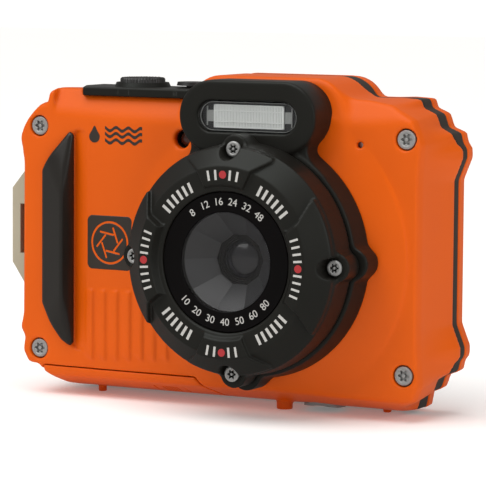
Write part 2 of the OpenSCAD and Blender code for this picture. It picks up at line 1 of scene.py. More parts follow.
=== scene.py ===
"""Looks of the waterproof action camera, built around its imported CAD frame.

Lengths in the code are millimetres in the CAD frame (X right, -Y forward, Z up); meshes are in metres.
Casings, bezels and screws are distance fields turned into meshes; keys, marks and glass are turned or
flat meshes. A function that takes g gives a field on grid g, and a 2 in its name means the same at any depth.
"""
import json
from cmath import rect
from functools import reduce
from itertools import combinations, product
from math import ceil, cos, hypot, pi, radians, sin

import bmesh
import bpy
import numpy as np
from mathutils import Matrix, Vector


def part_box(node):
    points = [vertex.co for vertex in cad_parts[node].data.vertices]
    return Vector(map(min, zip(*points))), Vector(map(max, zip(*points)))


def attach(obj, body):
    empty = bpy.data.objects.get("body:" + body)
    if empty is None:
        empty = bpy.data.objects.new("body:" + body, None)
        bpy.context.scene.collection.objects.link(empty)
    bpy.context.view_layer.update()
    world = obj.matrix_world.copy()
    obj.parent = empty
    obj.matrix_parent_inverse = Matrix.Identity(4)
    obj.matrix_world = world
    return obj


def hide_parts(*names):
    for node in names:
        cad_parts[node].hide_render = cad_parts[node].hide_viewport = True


MM = 0.001
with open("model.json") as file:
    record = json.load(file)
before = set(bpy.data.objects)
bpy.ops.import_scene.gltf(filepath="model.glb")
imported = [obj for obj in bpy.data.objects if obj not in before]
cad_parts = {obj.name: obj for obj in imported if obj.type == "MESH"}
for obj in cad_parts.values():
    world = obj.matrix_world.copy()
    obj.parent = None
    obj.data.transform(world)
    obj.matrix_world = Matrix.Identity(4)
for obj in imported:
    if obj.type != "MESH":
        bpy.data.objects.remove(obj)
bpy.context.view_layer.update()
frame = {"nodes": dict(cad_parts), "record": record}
nodes = frame["nodes"]


def span(node):
    """Lowest and highest corner of a CAD node, in millimetres."""
    low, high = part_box(node)
    return np.array(low) / MM, np.array(high) / MM


def middle(node):
    """Middle of a CAD node, seen from the front."""
    low, high = span(node)
    return (low[0] + high[0]) / 2, (low[2] + high[2]) / 2


# ---- places read from the frame
ring_low, ring_high = span("name_ring")
LENS_X, LENS_Z = middle("name_ring")
NAME_R = (ring_high[0] - ring_low[0]) / 2
BEZEL_FRONT = -span("lens_bezel")[0][1]
screw_low, screw_high = span("corner_screws")
SCREW_R = 2.25
SCREW_FACE_Y = screw_low[1]
SCREW_X = (screw_low[0] + SCREW_R, screw_high[0] - SCREW_R)
SCREW_Z = (screw_low[2] + SCREW_R, screw_high[2] - SCREW_R)
CORNERS = [(x, z) for x in SCREW_X for z in SCREW_Z]
seam_low, seam_high = span("shell_gasket")
SEAM_Y = seam_low[1]
SEAM_BACK_Y = seam_high[1]
HUMP_Z = span("front_shell")[1][2]
hood_low, hood_high = span("flash_window")
HOOD_Z = (hood_low[2] + hood_high[2]) / 2
WINDOW_HALF_W = (hood_high[0] - hood_low[0]) / 2
WINDOW_R = (hood_high[2] - hood_low[2]) / 2

# ---- sizes shared by several pieces
BODY_LEFT, BODY_RIGHT, BODY_BOTTOM, SHOULDER_Z = -53.0, 53.7, 1.0, 73.4
FRONT_Y, BACK_Y, WALL = -3.2, 22.3, 2.0
HOOD_HALF_W, HOOD_R, HOOD_FRONT_Y = 17.2, 8.0, -11.7
HUMP_LEFT, HUMP_RIGHT, HUMP_R, HUMP_FRONT_Y, HUMP_FOOT_Z = -7.0, 33.5, 8.0, -1.9, 60.0
SEAT_R, SEAT_Y, BASE_R, BASE_FRONT_Y = 35.0, -4.7, 28.3, -11.0
BEZEL_BACK_Y, BEZEL_SCREW_R = -11.5, 25.7
BLOCK_FACE, TRAY_FACE, SECTOR_FACE, DIAL_Z = 21.75, 22.8, BEZEL_FRONT - 0.12, LENS_Z - 0.25
WIDER = 2.2  # how much further forward the gasket starts at the stepped corners and on the hump
BEVEL_WALL = 1.7
SIDE_BULGE, BULGE_POWER, MIDDLE_X, HALF_W = 1.15, 2.4, 0.4, 50  # how the front face falls back to its sides
ROOM_WIDE, ROOM_TALL = (-50.0, 17.0, 50.7, 58.5), (-44.2, 3.5, 44.5, 70.8)
DOOR_LEFT, DOOR_RIGHT, DOOR_TOP, DOOR_BACK_Y = -46.2, 0.4, 7.0, 11.0
HINGE_Y, HINGE_Z, HINGE_R = 12.6, 2.25, 1.25
TOP_BEVEL = ((FRONT_Y, 67.4), (0.4, SHOULDER_Z + 0.1))
LOW_BEVEL = ((FRONT_Y, 5.3), (7.0, BODY_BOTTOM))
PLATE_TOP, PLATE_SEAT = 74.5, 72.4
PLATE_PLAN = [(-35.6, -4), (-35.6, -1.4), (-39.5, 6.0), (-39.5, 14.7),
              (HUMP_LEFT - 0.1, 14.7), (HUMP_LEFT - 0.1, -4)]
AF_X, AF_Z = -7.7, 63.0


# ---- distance fields
class Grid:
    """A block of space, sampled on open axes so that flat fields stay small."""

    def __init__(self, low, high, step):
        self.step = step
        self.low = np.array(low, float)
        counts = [int(ceil((h - l) / self.step)) + 1 for l, h in zip(low, high)]
        self.axes = [self.low[i] + np.arange(counts[i]) * self.step for i in range(3)]
        self.x = self.axes[0][:, None, None]
        self.y = self.axes[1][None, :, None]
        self.z = self.axes[2][None, None, :]
        self.shape = tuple(counts)


def ramp(share):
    return np.clip(share, 0, 1)


def both(*fields):
    """Intersection with sharp edges."""
    return reduce(np.maximum, fields)


def either(*fields):
    """Union with sharp edges."""
    return reduce(np.minimum, fields)


def join(a, b, k=0.4):
    """Union with a fillet of about k."""
    h = ramp(0.5 + 0.5 * (b - a) / k)
    return b + (a - b) * h - k * h * (1 - h)


def meet(a, b, k=0.4):
    """Intersection with a rounded edge of about k."""
    return -join(-a, -b, k)


def cut(a, b, k=0.4):
    """a without b, with the edge rounded by about k."""
    return meet(a, -b, k)


def disc(u, v, cu, cv, r):
    return np.sqrt((u - cu) ** 2 + (v - cv) ** 2) - r


def box2(u, v, low, high, r=0.0):
    """Rectangle with corners of radius r."""
    du = np.abs(u - (low[0] + high[0]) / 2) - (high[0] - low[0]) / 2 + r
    dv = np.abs(v - (low[1] + high[1]) / 2) - (high[1] - low[1]) / 2 + r
    outside = np.sqrt(np.maximum(du, 0) ** 2 + np.maximum(dv, 0) ** 2)
    return outside + np.minimum(np.maximum(du, dv), 0) - r


def stadium2(u, v, cu, cv, half, r):
    du = np.maximum(np.abs(u - cu) - (half - r), 0)
    return np.sqrt(du ** 2 + (v - cv) ** 2) - r


def slab(v, low, high):
    return np.maximum(low - v, v - high)


def outline(u, v, points):
    """Signed distance to a closed polygon."""
    best = np.full(np.broadcast(u, v).shape, 1e9)
    inside = np.zeros(best.shape, bool)
    for (au, av), (bu, bv) in zip(points, points[1:] + points[:1]):
        eu, ev = bu - au, bv - av
        t = ramp(((u - au) * eu + (v - av) * ev) / (eu * eu + ev * ev))
        best = np.minimum(best, (u - au - eu * t) ** 2 + (v - av - ev * t) ** 2)
        if ev != 0:
            inside ^= ((av > v) != (bv > v)) & (u < eu * (v - av) / ev + au)
    return np.where(inside, -1, 1) * np.sqrt(best)


def soften(field, grid, radius, axes=(0, 2)):
    """Averages a flat field over radius, which rounds the corners of its outline."""
    width = max(1, int(round(radius / grid.step)))
    kernel = np.hanning(2 * width + 3)[1:-1]
    kernel /= kernel.sum()
    for axis in axes:
        pad = [(width, width) if i == axis else (0, 0) for i in range(3)]
        padded = np.pad(field, pad, mode="edge")
        size = field.shape[axis]
        field = sum(w * np.take(padded, range(i, i + size), axis=axis) for i, w in enumerate(kernel))
    return field


def beyond(y, z, line, side, depth=0.0):
    """Distance outside a bevel line, which is moved into the body by depth."""
    (y0, z0), (y1, z1) = line
    length = hypot(y1 - y0, z1 - z0)
    uy, uz = (y1 - y0) / length, (z1 - z0) / length
    return side * (-(y - y0) * uz + (z - z0) * uy) + depth


CUBE = list(product((0, 1), repeat=3))
CUBE_EDGES = [(i, j) for i, j in combinations(range(8), 2)
              if np.abs(np.subtract(CUBE[i], CUBE[j])).sum() == 1]


def surface(name, field, grid, look, keep=None):
    """Turns the zero level of a field into a mesh, and keeps only a share of its faces if asked."""
    field = np.broadcast_to(field, grid.shape).astype(np.float32)
    verts, number = cell_points(field)
    faces = quads(field < 0, number)
    mesh = bpy.data.meshes.new(name)
    places = (grid.low[None] + verts * grid.step) * MM
    mesh.vertices.add(len(places))
    mesh.vertices.foreach_set("co", places.astype(np.float32).ravel())
    mesh.loops.add(faces.size)
    mesh.loops.foreach_set("vertex_index", faces.astype(np.int32).ravel())
    mesh.polygons.add(len(faces))
    mesh.polygons.foreach_set("loop_start", np.arange(0, faces.size, 4, dtype=np.int32))
    mesh.update(calc_edges=True)
    mesh.validate()
    obj = finish_mesh(name, mesh, look)
    if keep:
        thin = obj.modifiers.new("thin", "DECIMATE")
        thin.ratio = keep
    return obj


def cell_points(field):
    """A point, in cells, for every cell that the zero level passes through, and each cell's point number."""
    inside = field < 0
    cells = [n - 1 for n in field.shape]
    filled = sum(inside[a:a + cells[0], b:b + cells[1], c:c + cells[2]].astype(np.int8) for a, b, c in CUBE)
    active = (filled > 0) & (filled < 8)
    where = np.argwhere(active)
    number = np.full(cells, -1, np.int32)
    number[active] = np.arange(len(where))
    values = [field[tuple((where + corner).T)] for corner in CUBE]
    total = count = 0
    for i, j in CUBE_EDGES:
        crosses = (values[i] < 0) != (values[j] < 0)
        t = np.where(crosses, values[i] / np.where(crosses, values[i] - values[j], 1.0), 0)
        total = total + crosses[:, None] * (np.array(CUBE[i]) + t[:, None] * np.subtract(CUBE[j], CUBE[i]))
        count = count + crosses
    return settle(where + total / count[:, None], field), number


def quads(inside, number):
    """One face, turned outward, for every grid edge that crosses the zero level inside the grid."""
    faces = []
    for axis in range(3):
        u, v = np.delete(np.eye(3, dtype=int), axis, 0)
        spots = np.argwhere(inside != np.roll(inside, -1, axis))
        ring = [spots - u - v, spots - v, spots, spots - u]
        quad = np.stack([number[tuple(cell.T)] for cell in ring], 1)
        outward = inside[tuple(spots.T)] != (axis == 1)
        quad[~outward] = quad[~outward][:, ::-1]
        faces.append(quad)
    return np.concatenate(faces)


def settle(verts, field):
    """Moves points, given in cells, onto the zero level along the field's gradient."""
    top = np.array(field.shape) - 2
    reach, rounds, longest = 0.4, 2, 0.35

    def sample(p):
        base = np.clip(np.floor(p).astype(int), 0, top)
        part = p - base
        return sum(np.abs(np.subtract(1, c) - part).prod(1) * field[tuple((base + c).T)] for c in CUBE)

    for _ in range(rounds):
        value = sample(verts)
        rises = [sample(verts + reach * e) - sample(verts - reach * e) for e in np.eye(3)]
        slope = np.stack(rises, 1) / (2 * reach)
        size = np.maximum((slope ** 2).sum(1), 1e-6)
        step = -(value / size)[:, None] * slope
        length = np.linalg.norm(step, axis=1, keepdims=True)
        verts = verts + step * np.minimum(1, longest / np.maximum(length, 1e-9))
    return verts


# ---- meshes
def new_object(name, data):
    obj = bpy.data.objects.new(name, data)
    bpy.context.scene.collection.objects.link(obj)
    return obj


def finish_mesh(name, mesh, look, smooth=True):
    obj = new_object(name, mesh)
    mesh.materials.append(look)
    mesh.polygons.foreach_set("use_smooth", [smooth] * len(mesh.polygons))
    return obj


def show(obj, replaced="", body="camera"):
    """The piece rides on a body and stands for the CAD nodes named, which are hidden."""
    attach(obj, body)
    if replaced:
        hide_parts(*replaced.split())


# ---- materials
def material(name, colour, rough, **inputs):
    mat = bpy.data.materials.new(name)
    mat.use_nodes = True
    shader = principled(mat)
    shader.inputs["Base Color"].default_value = (*colour, 1)
    shader.inputs["Roughness"].default_value = rough
    for key, value in inputs.items():
        shader.inputs[key.replace("_", " ")].default_value = value
    return mat


def principled(mat):
    return mat.node_tree.nodes["Principled BSDF"]


def add(mat, kind, **values):
    """Adds a shader node; values go to its inputs (with _ for a space) or else to its settings."""
    node = mat.node_tree.nodes.new("ShaderNode" + kind)
    for key, value in values.items():
        if key.replace("_", " ") in node.inputs:
            node.inputs[key.replace("_", " ")].default_value = value
        else:
            setattr(node, key, value)
    return node


def link(mat, a, out, b, into):
    mat.node_tree.links.new(a.outputs[out], b.inputs[into])


def moulded(name, colour, dark, rough, grain_scale, grain, spread=0.12, shine=0.5, reflection=(1, 1, 1)):
    """Moulded plastic: fine grain in the bump, broad variation in colour and roughness."""
    mat = material(name, colour, rough, Specular_IOR_Level=shine, Specular_Tint=(*reflection, 1))
    shader = principled(mat)
    place = add(mat, "TexCoord")
    fine = add(mat, "TexNoise", Scale=grain_scale, Detail=3.0, Roughness=0.6)
    broad = add(mat, "TexNoise", Scale=60.0, Detail=3.0, Roughness=0.55)
    for node in (fine, broad):
        link(mat, place, "Object", node, "Vector")
    tint = add(mat, "MixRGB", Color1=(*dark, 1), Color2=(*colour, 1))
    link(mat, broad, "Fac", tint, "Fac")
    link(mat, tint, "Color", shader, "Base Color")
    gloss = add(mat, "MapRange", To_Min=rough - spread, To_Max=rough + spread)
    link(mat, broad, "Fac", gloss, "Value")
    link(mat, gloss, "Result", shader, "Roughness")
    if grain:
        bump = add(mat, "Bump", Strength=grain, Distance=0.00005)
        link(mat, fine, "Fac", bump, "Height")
        link(mat, bump, "Normal", shader, "Normal")
    return mat


def metal(name, colour, rough, scratch=0.15, metallic=1.0):
    mat = moulded(name, colour, tuple(0.8 * c for c in colour), rough, 4000, scratch, 0.08)
    principled(mat).inputs["Metallic"].default_value = metallic
    return mat


def pane(name, tint, index, rough=0.02):
    """Clear pane: see-through, with a mirror on its front faces that grows towards grazing angles."""
    mat = bpy.data.materials.new(name)
    mat.use_nodes = True
    mat.node_tree.nodes.clear()
    out = add(mat, "OutputMaterial")
    clear = add(mat, "BsdfTransparent", Color=(*tint, 1))
    gloss = add(mat, "BsdfGlossy", Roughness=rough)
    blend = add(mat, "MixShader")
    fresnel = add(mat, "Fresnel", IOR=index)
    geometry = add(mat, "NewGeometry")
    front_only = add(mat, "Math", operation="SUBTRACT", use_clamp=True)
    link(mat, fresnel, "Fac", front_only, 0)
    link(mat, geometry, "Backfacing", front_only, 1)
    link(mat, front_only, "Value", blend, "Fac")
    link(mat, clear, "BSDF", blend, 1)
    link(mat, gloss, "BSDF", blend, 2)
    link(mat, blend, "Shader", out, "Surface")
    return mat


def board_material():
    """Circuit board: green mask with a fine net of lighter tracks."""
    green = (0.02, 0.12, 0.04)
    mat = moulded("board_green", green, (0.01, 0.07, 0.025), 0.35, 5000, 0.05)
    place = add(mat, "TexCoord")
    tracks = add(mat, "TexBrick", Scale=260.0, Color1=(*green, 1), Color2=(0.015, 0.09, 0.03, 1),
                 Mortar=(0.06, 0.24, 0.09, 1))
    link(mat, place, "Object", tracks, "Vector")
    link(mat, tracks, "Color", principled(mat), "Base Color")
    return mat


# colour, darker colour, roughness, scale and strength of the grain, spread of the roughness, reflections
ORANGE = moulded("orange_casing", (0.725, 0.106, 0.001), (0.67, 0.093, 0.001), 0.42, 9000, 0.12, 0.10, 0.17)
BLACK = moulded("black_casing", (0.011, 0.0098, 0.008), (0.008, 0.007, 0.0055), 0.42, 9000, 0.10, 0.08, 0.22,
                reflection=(0.82, 0.90, 0.86))
SEAL = moulded("seal_rubber", (0.034, 0.027, 0.020), (0.024, 0.019, 0.014), 0.55, 6000, 0.15, 0.10, 0.3)
GLOSS = moulded("gloss_black", (0.0035, 0.003, 0.003), (0.0025, 0.002, 0.002), 0.30, 3000, 0.02, 0.04, 0.07)
GRIP = moulded("grip_rubber", (0.016, 0.013, 0.010), (0.011, 0.009, 0.007), 0.36, 7000, 0.12, 0.08, 0.35)
STEEL = metal("screw_steel", (0.40, 0.40, 0.39), 0.42, 0.15, 0.5)
LUG = metal("lug_metal", (0.56, 0.50, 0.37), 0.42, 0.15, 0.4)
PORT = pane("port_pane", (0.98, 0.98, 0.98), 1.45)
FLASH = pane("flash_pane", (0.96, 0.97, 0.97), 1.42, 0.08)
DOME = moulded("front_element", (0.010, 0.010, 0.013), (0.008, 0.008, 0.010), 0.14, 200, 0.0, 0.01)
BAFFLE = moulded("baffle_black", (0.026, 0.026, 0.028), (0.020, 0.020, 0.022), 0.36, 3000, 0.04)
SILVER = metal("prism_silver", (0.86, 0.86, 0.84), 0.35, 0.05, 0.1)
WHITE = moulded("print_white", (0.52, 0.51, 0.48), (0.44, 0.43, 0.41), 0.5, 6000, 0.1)
RED = moulded("print_red", (0.42, 0.018, 0.022), (0.34, 0.012, 0.016), 0.45, 6000, 0.1)
# Dark print; the same material is also painted shade in the gaps round the corner screws.
DARK_PRINT_AND_SHADE = moulded("print_and_painted_shade", (0.030, 0.020, 0.012), (0.020, 0.014, 0.009), 0.5, 6000, 0.1)
SLOT_LOOK = {
    "orange_plastic": ORANGE, "black_plastic": BLACK, "gloss_black": GLOSS, "grip_rubber": GRIP,
    "seal_rubber": SEAL, "screw_steel": STEEL, "lug_metal": LUG, "clear_glass": PORT, "lens_glass": DOME,
    "flash_clear": FLASH, "reflector": SILVER, "barrel_black": BAFFLE,
    "pcb_green": board_material(),
    "sheet_metal": metal("sheet_metal", (0.50, 0.50, 0.50), 0.34),
    "lcd_black": moulded("screen_black", (0.010, 0.011, 0.013), (0.007, 0.008, 0.010), 0.10, 900, 0.0, 0.03),
}
SLOT_LOOK.update({name: moulded(name, *values) for name, values in {
    "tube_glass": ((0.60, 0.62, 0.60), (0.50, 0.52, 0.52), 0.10, 900, 0.0, 0.02),
    "pack_grey": ((0.09, 0.09, 0.10), (0.06, 0.06, 0.07), 0.45, 5000, 0.1),
    "card_blue": ((0.02, 0.05, 0.20), (0.015, 0.03, 0.14), 0.40, 5000, 0.1),
    "lamp_red": ((0.055, 0.018, 0.010), (0.035, 0.012, 0.008), 0.15, 900, 0.0, 0.03),
    "lamp_green": ((0.04, 0.30, 0.08), (0.03, 0.22, 0.06), 0.18, 900, 0.0, 0.03),
    "key_black": ((0.014, 0.013, 0.012), (0.010, 0.009, 0.008), 0.38, 7000, 0.12),
    "key_red": ((0.40, 0.02, 0.02), (0.30, 0.012, 0.012), 0.36, 7000, 0.1),
}.items()})
ROUNDED = ("shutter_collar", "power_button", "strap_lug", "play_button", "video_button", "menu_button",
           "delete_button", "direction_pad", "ok_button", "zoom_rocker", "battery", "battery_case",
           "lcd_window")


# ---- camera, floor and light
def look():
    """A long lens to the right of the lens axis and a little above it."""
    azimuth, elevation, roll = radians(27.58), radians(5.49), radians(0.43)
    target, distance = Vector((7.7, -1.7, 39.29)) * MM, 703.57 * MM
    level = cos(elevation)
    back = Vector((sin(azimuth) * level, -cos(azimuth) * level, sin(elevation)))
    right = Vector((cos(azimuth), sin(azimuth), 0))
    up = back.cross(right)
    right, up = cos(roll) * right + sin(roll) * up, -sin(roll) * right + cos(roll) * up
    data = bpy.data.cameras.new("camera")
    data.lens, data.sensor_width = 224.1, 36.0
    data.clip_start = 0.01
    cam = new_object("camera", data)
    cam.matrix_world = Matrix((right, up, back)).transposed().to_4x4()
    cam.location = target + back * distance
    bpy.context.scene.camera = cam


def lamp(name, kind, energy, direction, place=(0, 0, 0)):
    """A light that shines along direction."""
    data = bpy.data.lights.new(name, kind)
    data.energy = energy
    obj = new_object(name, data)
    obj.location = place
    obj.rotation_euler = Vector(direction).to_track_quat("-Z", "Y").to_euler()
    return data


def panel_light(name, place, size, power):
    """Rectangular panel that faces the middle of the object."""
    data = lamp(name, "AREA", power, Vector((0, 0, 0.04)) - Vector(place), place)
    data.shape = "RECTANGLE"
    data.size, data.size_y = size


def studio():
    """Two soft panels, a broad sky and a pale world that looks brighter to the camera than it lights."""
    scene = bpy.context.scene
    scene.view_settings.view_transform = "Standard"
    world = bpy.data.worlds.new("studio")
    scene.world = world
    world.use_nodes = True
    back = world.node_tree.nodes["Background"]
    back.inputs["Color"].default_value = (1.0, 0.985, 0.965, 1)
    ray = add(world, "LightPath")
    level = add(world, "MapRange", To_Min=0.30, To_Max=1.25)
    link(world, ray, "Is Camera Ray", level, "Value")
    link(world, level, "Result", back, "Strength")
    panel_light("key_panel", (-0.55, -0.8, 0.75), (0.9, 0.7), 3.6)
    panel_light("side_panel", (0.95, -0.3, 0.4), (0.5, 0.7), 2.6)
    lamp("sky_panel", "SUN", 2.2, (0.15, 0.28, -1.0)).angle = radians(60)
    floor()


def floor():
    """Plain pale floor, darker to reflections so that the casing's lower faces keep their colour."""
    reach = 3.0
    mesh = bpy.data.meshes.new("floor")
    corners = [(-reach, -reach, 0), (reach, -reach, 0), (reach, reach, 0), (-reach, reach, 0)]
    mesh.from_pydata(corners, [], [(0, 1, 2, 3)])
    glow = (1, 0.99, 0.975, 1)
    paint = material("floor_paint", (0.93, 0.92, 0.90), 0.7, Emission_Color=glow, Emission_Strength=0.15)
    ray = add(paint, "LightPath")
    tint = add(paint, "MixRGB", Color1=(0.95, 0.94, 0.925, 1), Color2=(0.28, 0.27, 0.26, 1))
    link(paint, ray, "Is Glossy Ray", tint, "Fac")
    link(paint, tint, "Color", principled(paint), "Base Color")
    finish_mesh("floor", mesh, paint, False)


# ---- casing outline
def corner_steps(reach, rise):
    """Stair of the seam round one corner, outward and away from its screw."""
    return [
        (reach, -10.2), (6.8, -5.0), (6.7, -2.7), (5.7, -1.4), (5.2, 0.9), (2.1, 2.1),
        (1.0, 5.2), (-2.1, 6.5), (-2.7, rise), (-6.8, rise + 0.2), (-10.8, rise),
    ]


def seam_points():
    """Outline of the seam: the stair, mirrored to each corner in turn."""
    points = []
    for sx, sz in ((1, -1), (1, 1), (-1, 1), (-1, -1)):
        x, z = SCREW_X[sx > 0], SCREW_Z[sz > 0]
        reach = BODY_RIGHT - x if sx > 0 else x - BODY_LEFT
        rise = SHOULDER_Z - z if sz > 0 else z - BODY_BOTTOM
        stair = corner_steps(reach, rise)
        points += [(x + sx * a, z + sz * b) for a, b in (stair if sx == sz else stair[::-1])]
    return points


def front_points():
    """Outline of the casing at its front rim: lobes round the left screws, soft corners on the right."""
    (left, right), (low, high) = SCREW_X, SCREW_Z
    offsets = [
        (right, low, [(3.4, 8.0), (4.0, -2.5), (2.2, -6.2), (-4, -9.2)]),
        (left, low, [(4.0, -8.9), (1.9, -6.3), (-0.5, -4.2), (-3.3, -3.9), (-5.1, -0.7), (-4.5, 2.5),
                     (-5.8, 4.7), (-5.0, 8.1)]),
        (left, high, [(-4.8, -9.0), (-5.3, -5.7), (-5.9, -2.9), (-4.9, -0.2), (-3.6, 1.9), (-1.9, 3.8),
                      (0.1, 5.6), (1.9, 5.8), (2.5, 8.5), (4.4, 9.3), (8.0, 9.2)]),
        (right, high, [(-11, 8.6), (-4.5, 7.6), (1.8, 4.4), (4.0, -1.0), (3.4, -9.0)]),
    ]
    return [(x + dx, z + dz) for x, z, steps in offsets for dx, dz in steps]


def side_wall(g):
    """Side of the casing: soft front outline passing into the stepped seam outline."""
    front = soften(outline(g.x, g.z, front_points()), g, 1.0)
    seam = seam_outline(g)
    share = ramp((g.y - 0.4) / (SEAM_Y - 1.4)) ** 1.3
    rim = np.interp(g.y, [FRONT_Y - 2, FRONT_Y, -1.9, 0.4], [3.9, 1.9, 0.45, 0.0])
    return front + (seam - front) * share + rim


def seam_outline(g):
    return soften(outline(g.x, g.z, seam_points()), g, 0.35)


def seam_plane(g):
    """How far back the front half ends: the gasket is wider at the stepped corners and on the hump."""
    top_z, low_z, hump_x, left_x, corner_x = 61.5, 13.5, -6.5, -41.5, 41.0
    fade_z, fade_x = 3.5, 1.5
    over_hump, over_left = ramp((g.x - hump_x) / fade_x), ramp((left_x - g.x) / fade_x)
    up = ramp((g.z - top_z) / fade_z) * both(over_hump, over_left)
    down = ramp((low_z - g.z) / fade_z) * ramp((np.abs(g.x) - corner_x) / fade_x)
    return SEAM_Y - WIDER * both(up, down)


def hump2(g, inset=0.0):
    """Outline of the hump behind the flash hood."""
    return box2(g.x, g.z, (HUMP_LEFT + inset, 40), (HUMP_RIGHT - inset, HUMP_Z - inset), HUMP_R)


def room2(g, inset=0.0):
    """Outline of the room inside the casing."""
    return either(*(box2(g.x, g.z, (r[0] + inset, r[1] + inset), (r[2] - inset, r[3] - inset), 0.5)
                        for r in (ROOM_WIDE, ROOM_TALL)))


def door2(g, grow=0.0):
    """Outline of the battery door, seen from the front."""
    points = [(DOOR_LEFT, -3), (DOOR_LEFT, DOOR_TOP), (-4.2, DOOR_TOP), (DOOR_RIGHT, 2.0), (DOOR_RIGHT, -3)]
    return outline(g.x, g.z, points) - grow


def skin_y(x):
    """How far back the front face lies: it falls away towards the sides."""
    return FRONT_Y + SIDE_BULGE * (abs(x - MIDDLE_X) / HALF_W) ** BULGE_POWER


def top_bevel(g, depth=0.0):
    return beyond(g.y, g.z, TOP_BEVEL, 1, depth)


def low_bevel(g, depth=0.0):
    return beyond(g.y, g.z, LOW_BEVEL, -1, depth)


def ribs(g):
    """Shallow saw-tooth ribs under the badge: a long rise and a short fall in each pitch."""
    first, pitch, count, depth = -34.9, 3.42, 7, 0.55
    rise, top_z, top_fade, foot_z, foot_step, foot_slant = 0.82, 26.7, 0.9, 8.8, 0.1925, 1.8
    phase = (g.x - first) / pitch
    saw = np.where((phase > 0) & (phase < count), phase - np.floor(phase), 0)
    shape = ramp(saw / rise) - ramp((saw - rise) / (1 - rise))
    foot = foot_z + foot_step * np.floor(np.clip(phase, 0, count)) + foot_slant * ramp(0.8 - saw)
    return depth * shape * ramp(g.z - foot) * ramp((top_z - g.z) / top_fade)


def casing(g):
    """Outside of the front half of the casing."""
    d = meet(side_wall(g), skin_y(g.x) - ribs(g) - g.y, 0.7)
    d = meet(d, g.y - seam_plane(g), 0.15)
    left_end = -43.0  # left of here the top has no bevel
    d = meet(d, top_bevel(g) - 6 * ramp((left_end - g.x) / 1.5), 0.9)
    d = join(d, lens_seat(g), 0.35)
    d = meet(d, low_bevel(g), 1.2)
    d = meet(d, lower_left(g), 1.0)
    return join(d, hump(g), 3.0)


def lens_seat(g):
    """Low cone that carries the lens base."""
    slope, flank_drop, rim, back_y = (0.245, 0.97), 1.75, 1.5, 4
    radius = disc(g.x, g.z, LENS_X, LENS_Z, 0)
    flank = (radius - SEAT_R) * slope[0] + (SEAT_Y + flank_drop - g.y) * slope[1]
    seat = both(flank, SEAT_Y - g.y)
    return meet(both(seat, radius - SEAT_R - rim), g.y - back_y, 0.2)


def hump(g):
    """Hump behind the flash hood."""
    body = meet(hump2(g), HUMP_FRONT_Y - g.y, 1.6)
    body = meet(body, g.y - seam_plane(g), 0.2)
    return both(body, HUMP_FOOT_Z - g.z)


def lower_left(g):
    """Trim of the lower left corner round its screw."""
    points = [(-70, -12), (-70, 6.2), (-48.3, 6.6), (-46.6, 4.6), (-44.4, 2.0), (-43.0, 1.0), (-43.0, -12)]
    return -outline(g.x, g.z, points)


def front_shell():
    g = Grid((-59, -7, -1.5), (59, 16.5, 80), 0.42)
    d = cut(casing(g), grip_valley(g), 0.5)
    for x, z in CORNERS:
        d = cut(d, both(disc(g.x, g.z, x, z, SCREW_R + 0.28), g.y - SCREW_FACE_Y - 1.2), 0.35)
    d = cut(d, front_room(g), 0.2)
    barrel_hole = 20.0
    d = cut(d, disc(g.x, g.z, LENS_X, LENS_Z, barrel_hole), 0.2)
    d = door_opening(g, d)
    d = cut(d, both(outline(g.x, g.y, PLATE_PLAN) - 0.12, PLATE_SEAT - g.z), 0.15)
    d = small_holes(g, d)
    d = lug_side(g, d)
    d = front_feet(g, d)
    show(surface("front_casing", d, g, ORANGE, keep=0.45), "front_shell")


def grip_valley(g):
    """Valley beside the grip, which deepens to the left."""
    right, low_z, high_z = -34.2, 11.5, 64.0
    floor_y = skin_y(g.x) + 0.95 * ramp((right - g.x) / 3.4)
    return both(box2(g.x, g.z, (-37.9, low_z), (right, high_z), 1.5), g.y - floor_y)


def front_room(g):
    """Inside of the front half, with even walls under the bevels and the hump."""
    room = both(room2(g), -1.2 - g.y)
    room = both(room, both(top_bevel(g, BEVEL_WALL), low_bevel(g, BEVEL_WALL)))
    return either(room, both(hump2(g, WALL), 0.2 - g.y))


def door_opening(g, d):
    """Opening for the door and its hinge, with an ear at each end of the hinge pin."""
    left, right, ear = -41.0, -0.2, 3.4
    door = both(door2(g, 0.22), g.y - DOOR_BACK_Y - 0.2)
    hinge = both(box2(g.y, g.z, (9, -3), (14.1, 3.75)), slab(g.x, left, right))
    d = cut(d, either(door, hinge), 0.18)
    ears = either(slab(g.x, left, left + ear), slab(g.x, right - ear, right))
    arm = box2(g.y, g.z, (HINGE_Y, BODY_BOTTOM), (14.6, 3.5))
    return join(d, both(ears, either(disc(g.y, g.z, HINGE_Y, HINGE_Z, HINGE_R), arm)), 0.2)


def small_holes(g, d):
    """Focus lamp hole, three speaker holes on the hump and the microphone hole."""
    speaker_x, speaker_y, pitch, speaker_r = 16.6, 4.5, 1.85, 0.42
    mic_x, mic_z, mic_r, floor_y = 37.8, 63.2, 0.75, -0.2
    d = cut(d, both(disc(g.x, g.z, AF_X, AF_Z, 2.2), g.y - floor_y), 0.5)
    for k in (-1, 0, 1):
        d = cut(d, both(disc(g.x, g.y, speaker_x + pitch * k, speaker_y, speaker_r), 76 - g.z), 0.2)
    return cut(d, both(disc(g.x, g.z, mic_x, mic_z, mic_r), g.y - floor_y), 0.35)


def lug_side(g, d):
    """Pocket round the strap lug, and the raised pad behind it."""
    pocket = both(box2(g.y, g.z, (-0.9, 25.2), (4.7, 54.7), 1.0), g.x + 50.0)
    pad = both(box2(g.x, g.z, (-56.3, 32.0), (-49, 47.0), 1.0), slab(g.y, 4.85, 9.4))
    return join(cut(d, pocket, 0.5), pad, 0.4)


def foot(g, d, x, y, r, top=3.0, k=0.4):
    """Adds a small round foot that just clears the floor."""
    return join(d, both(disc(g.x, g.y, x, y, r), slab(g.z, 0.05, top)), k)


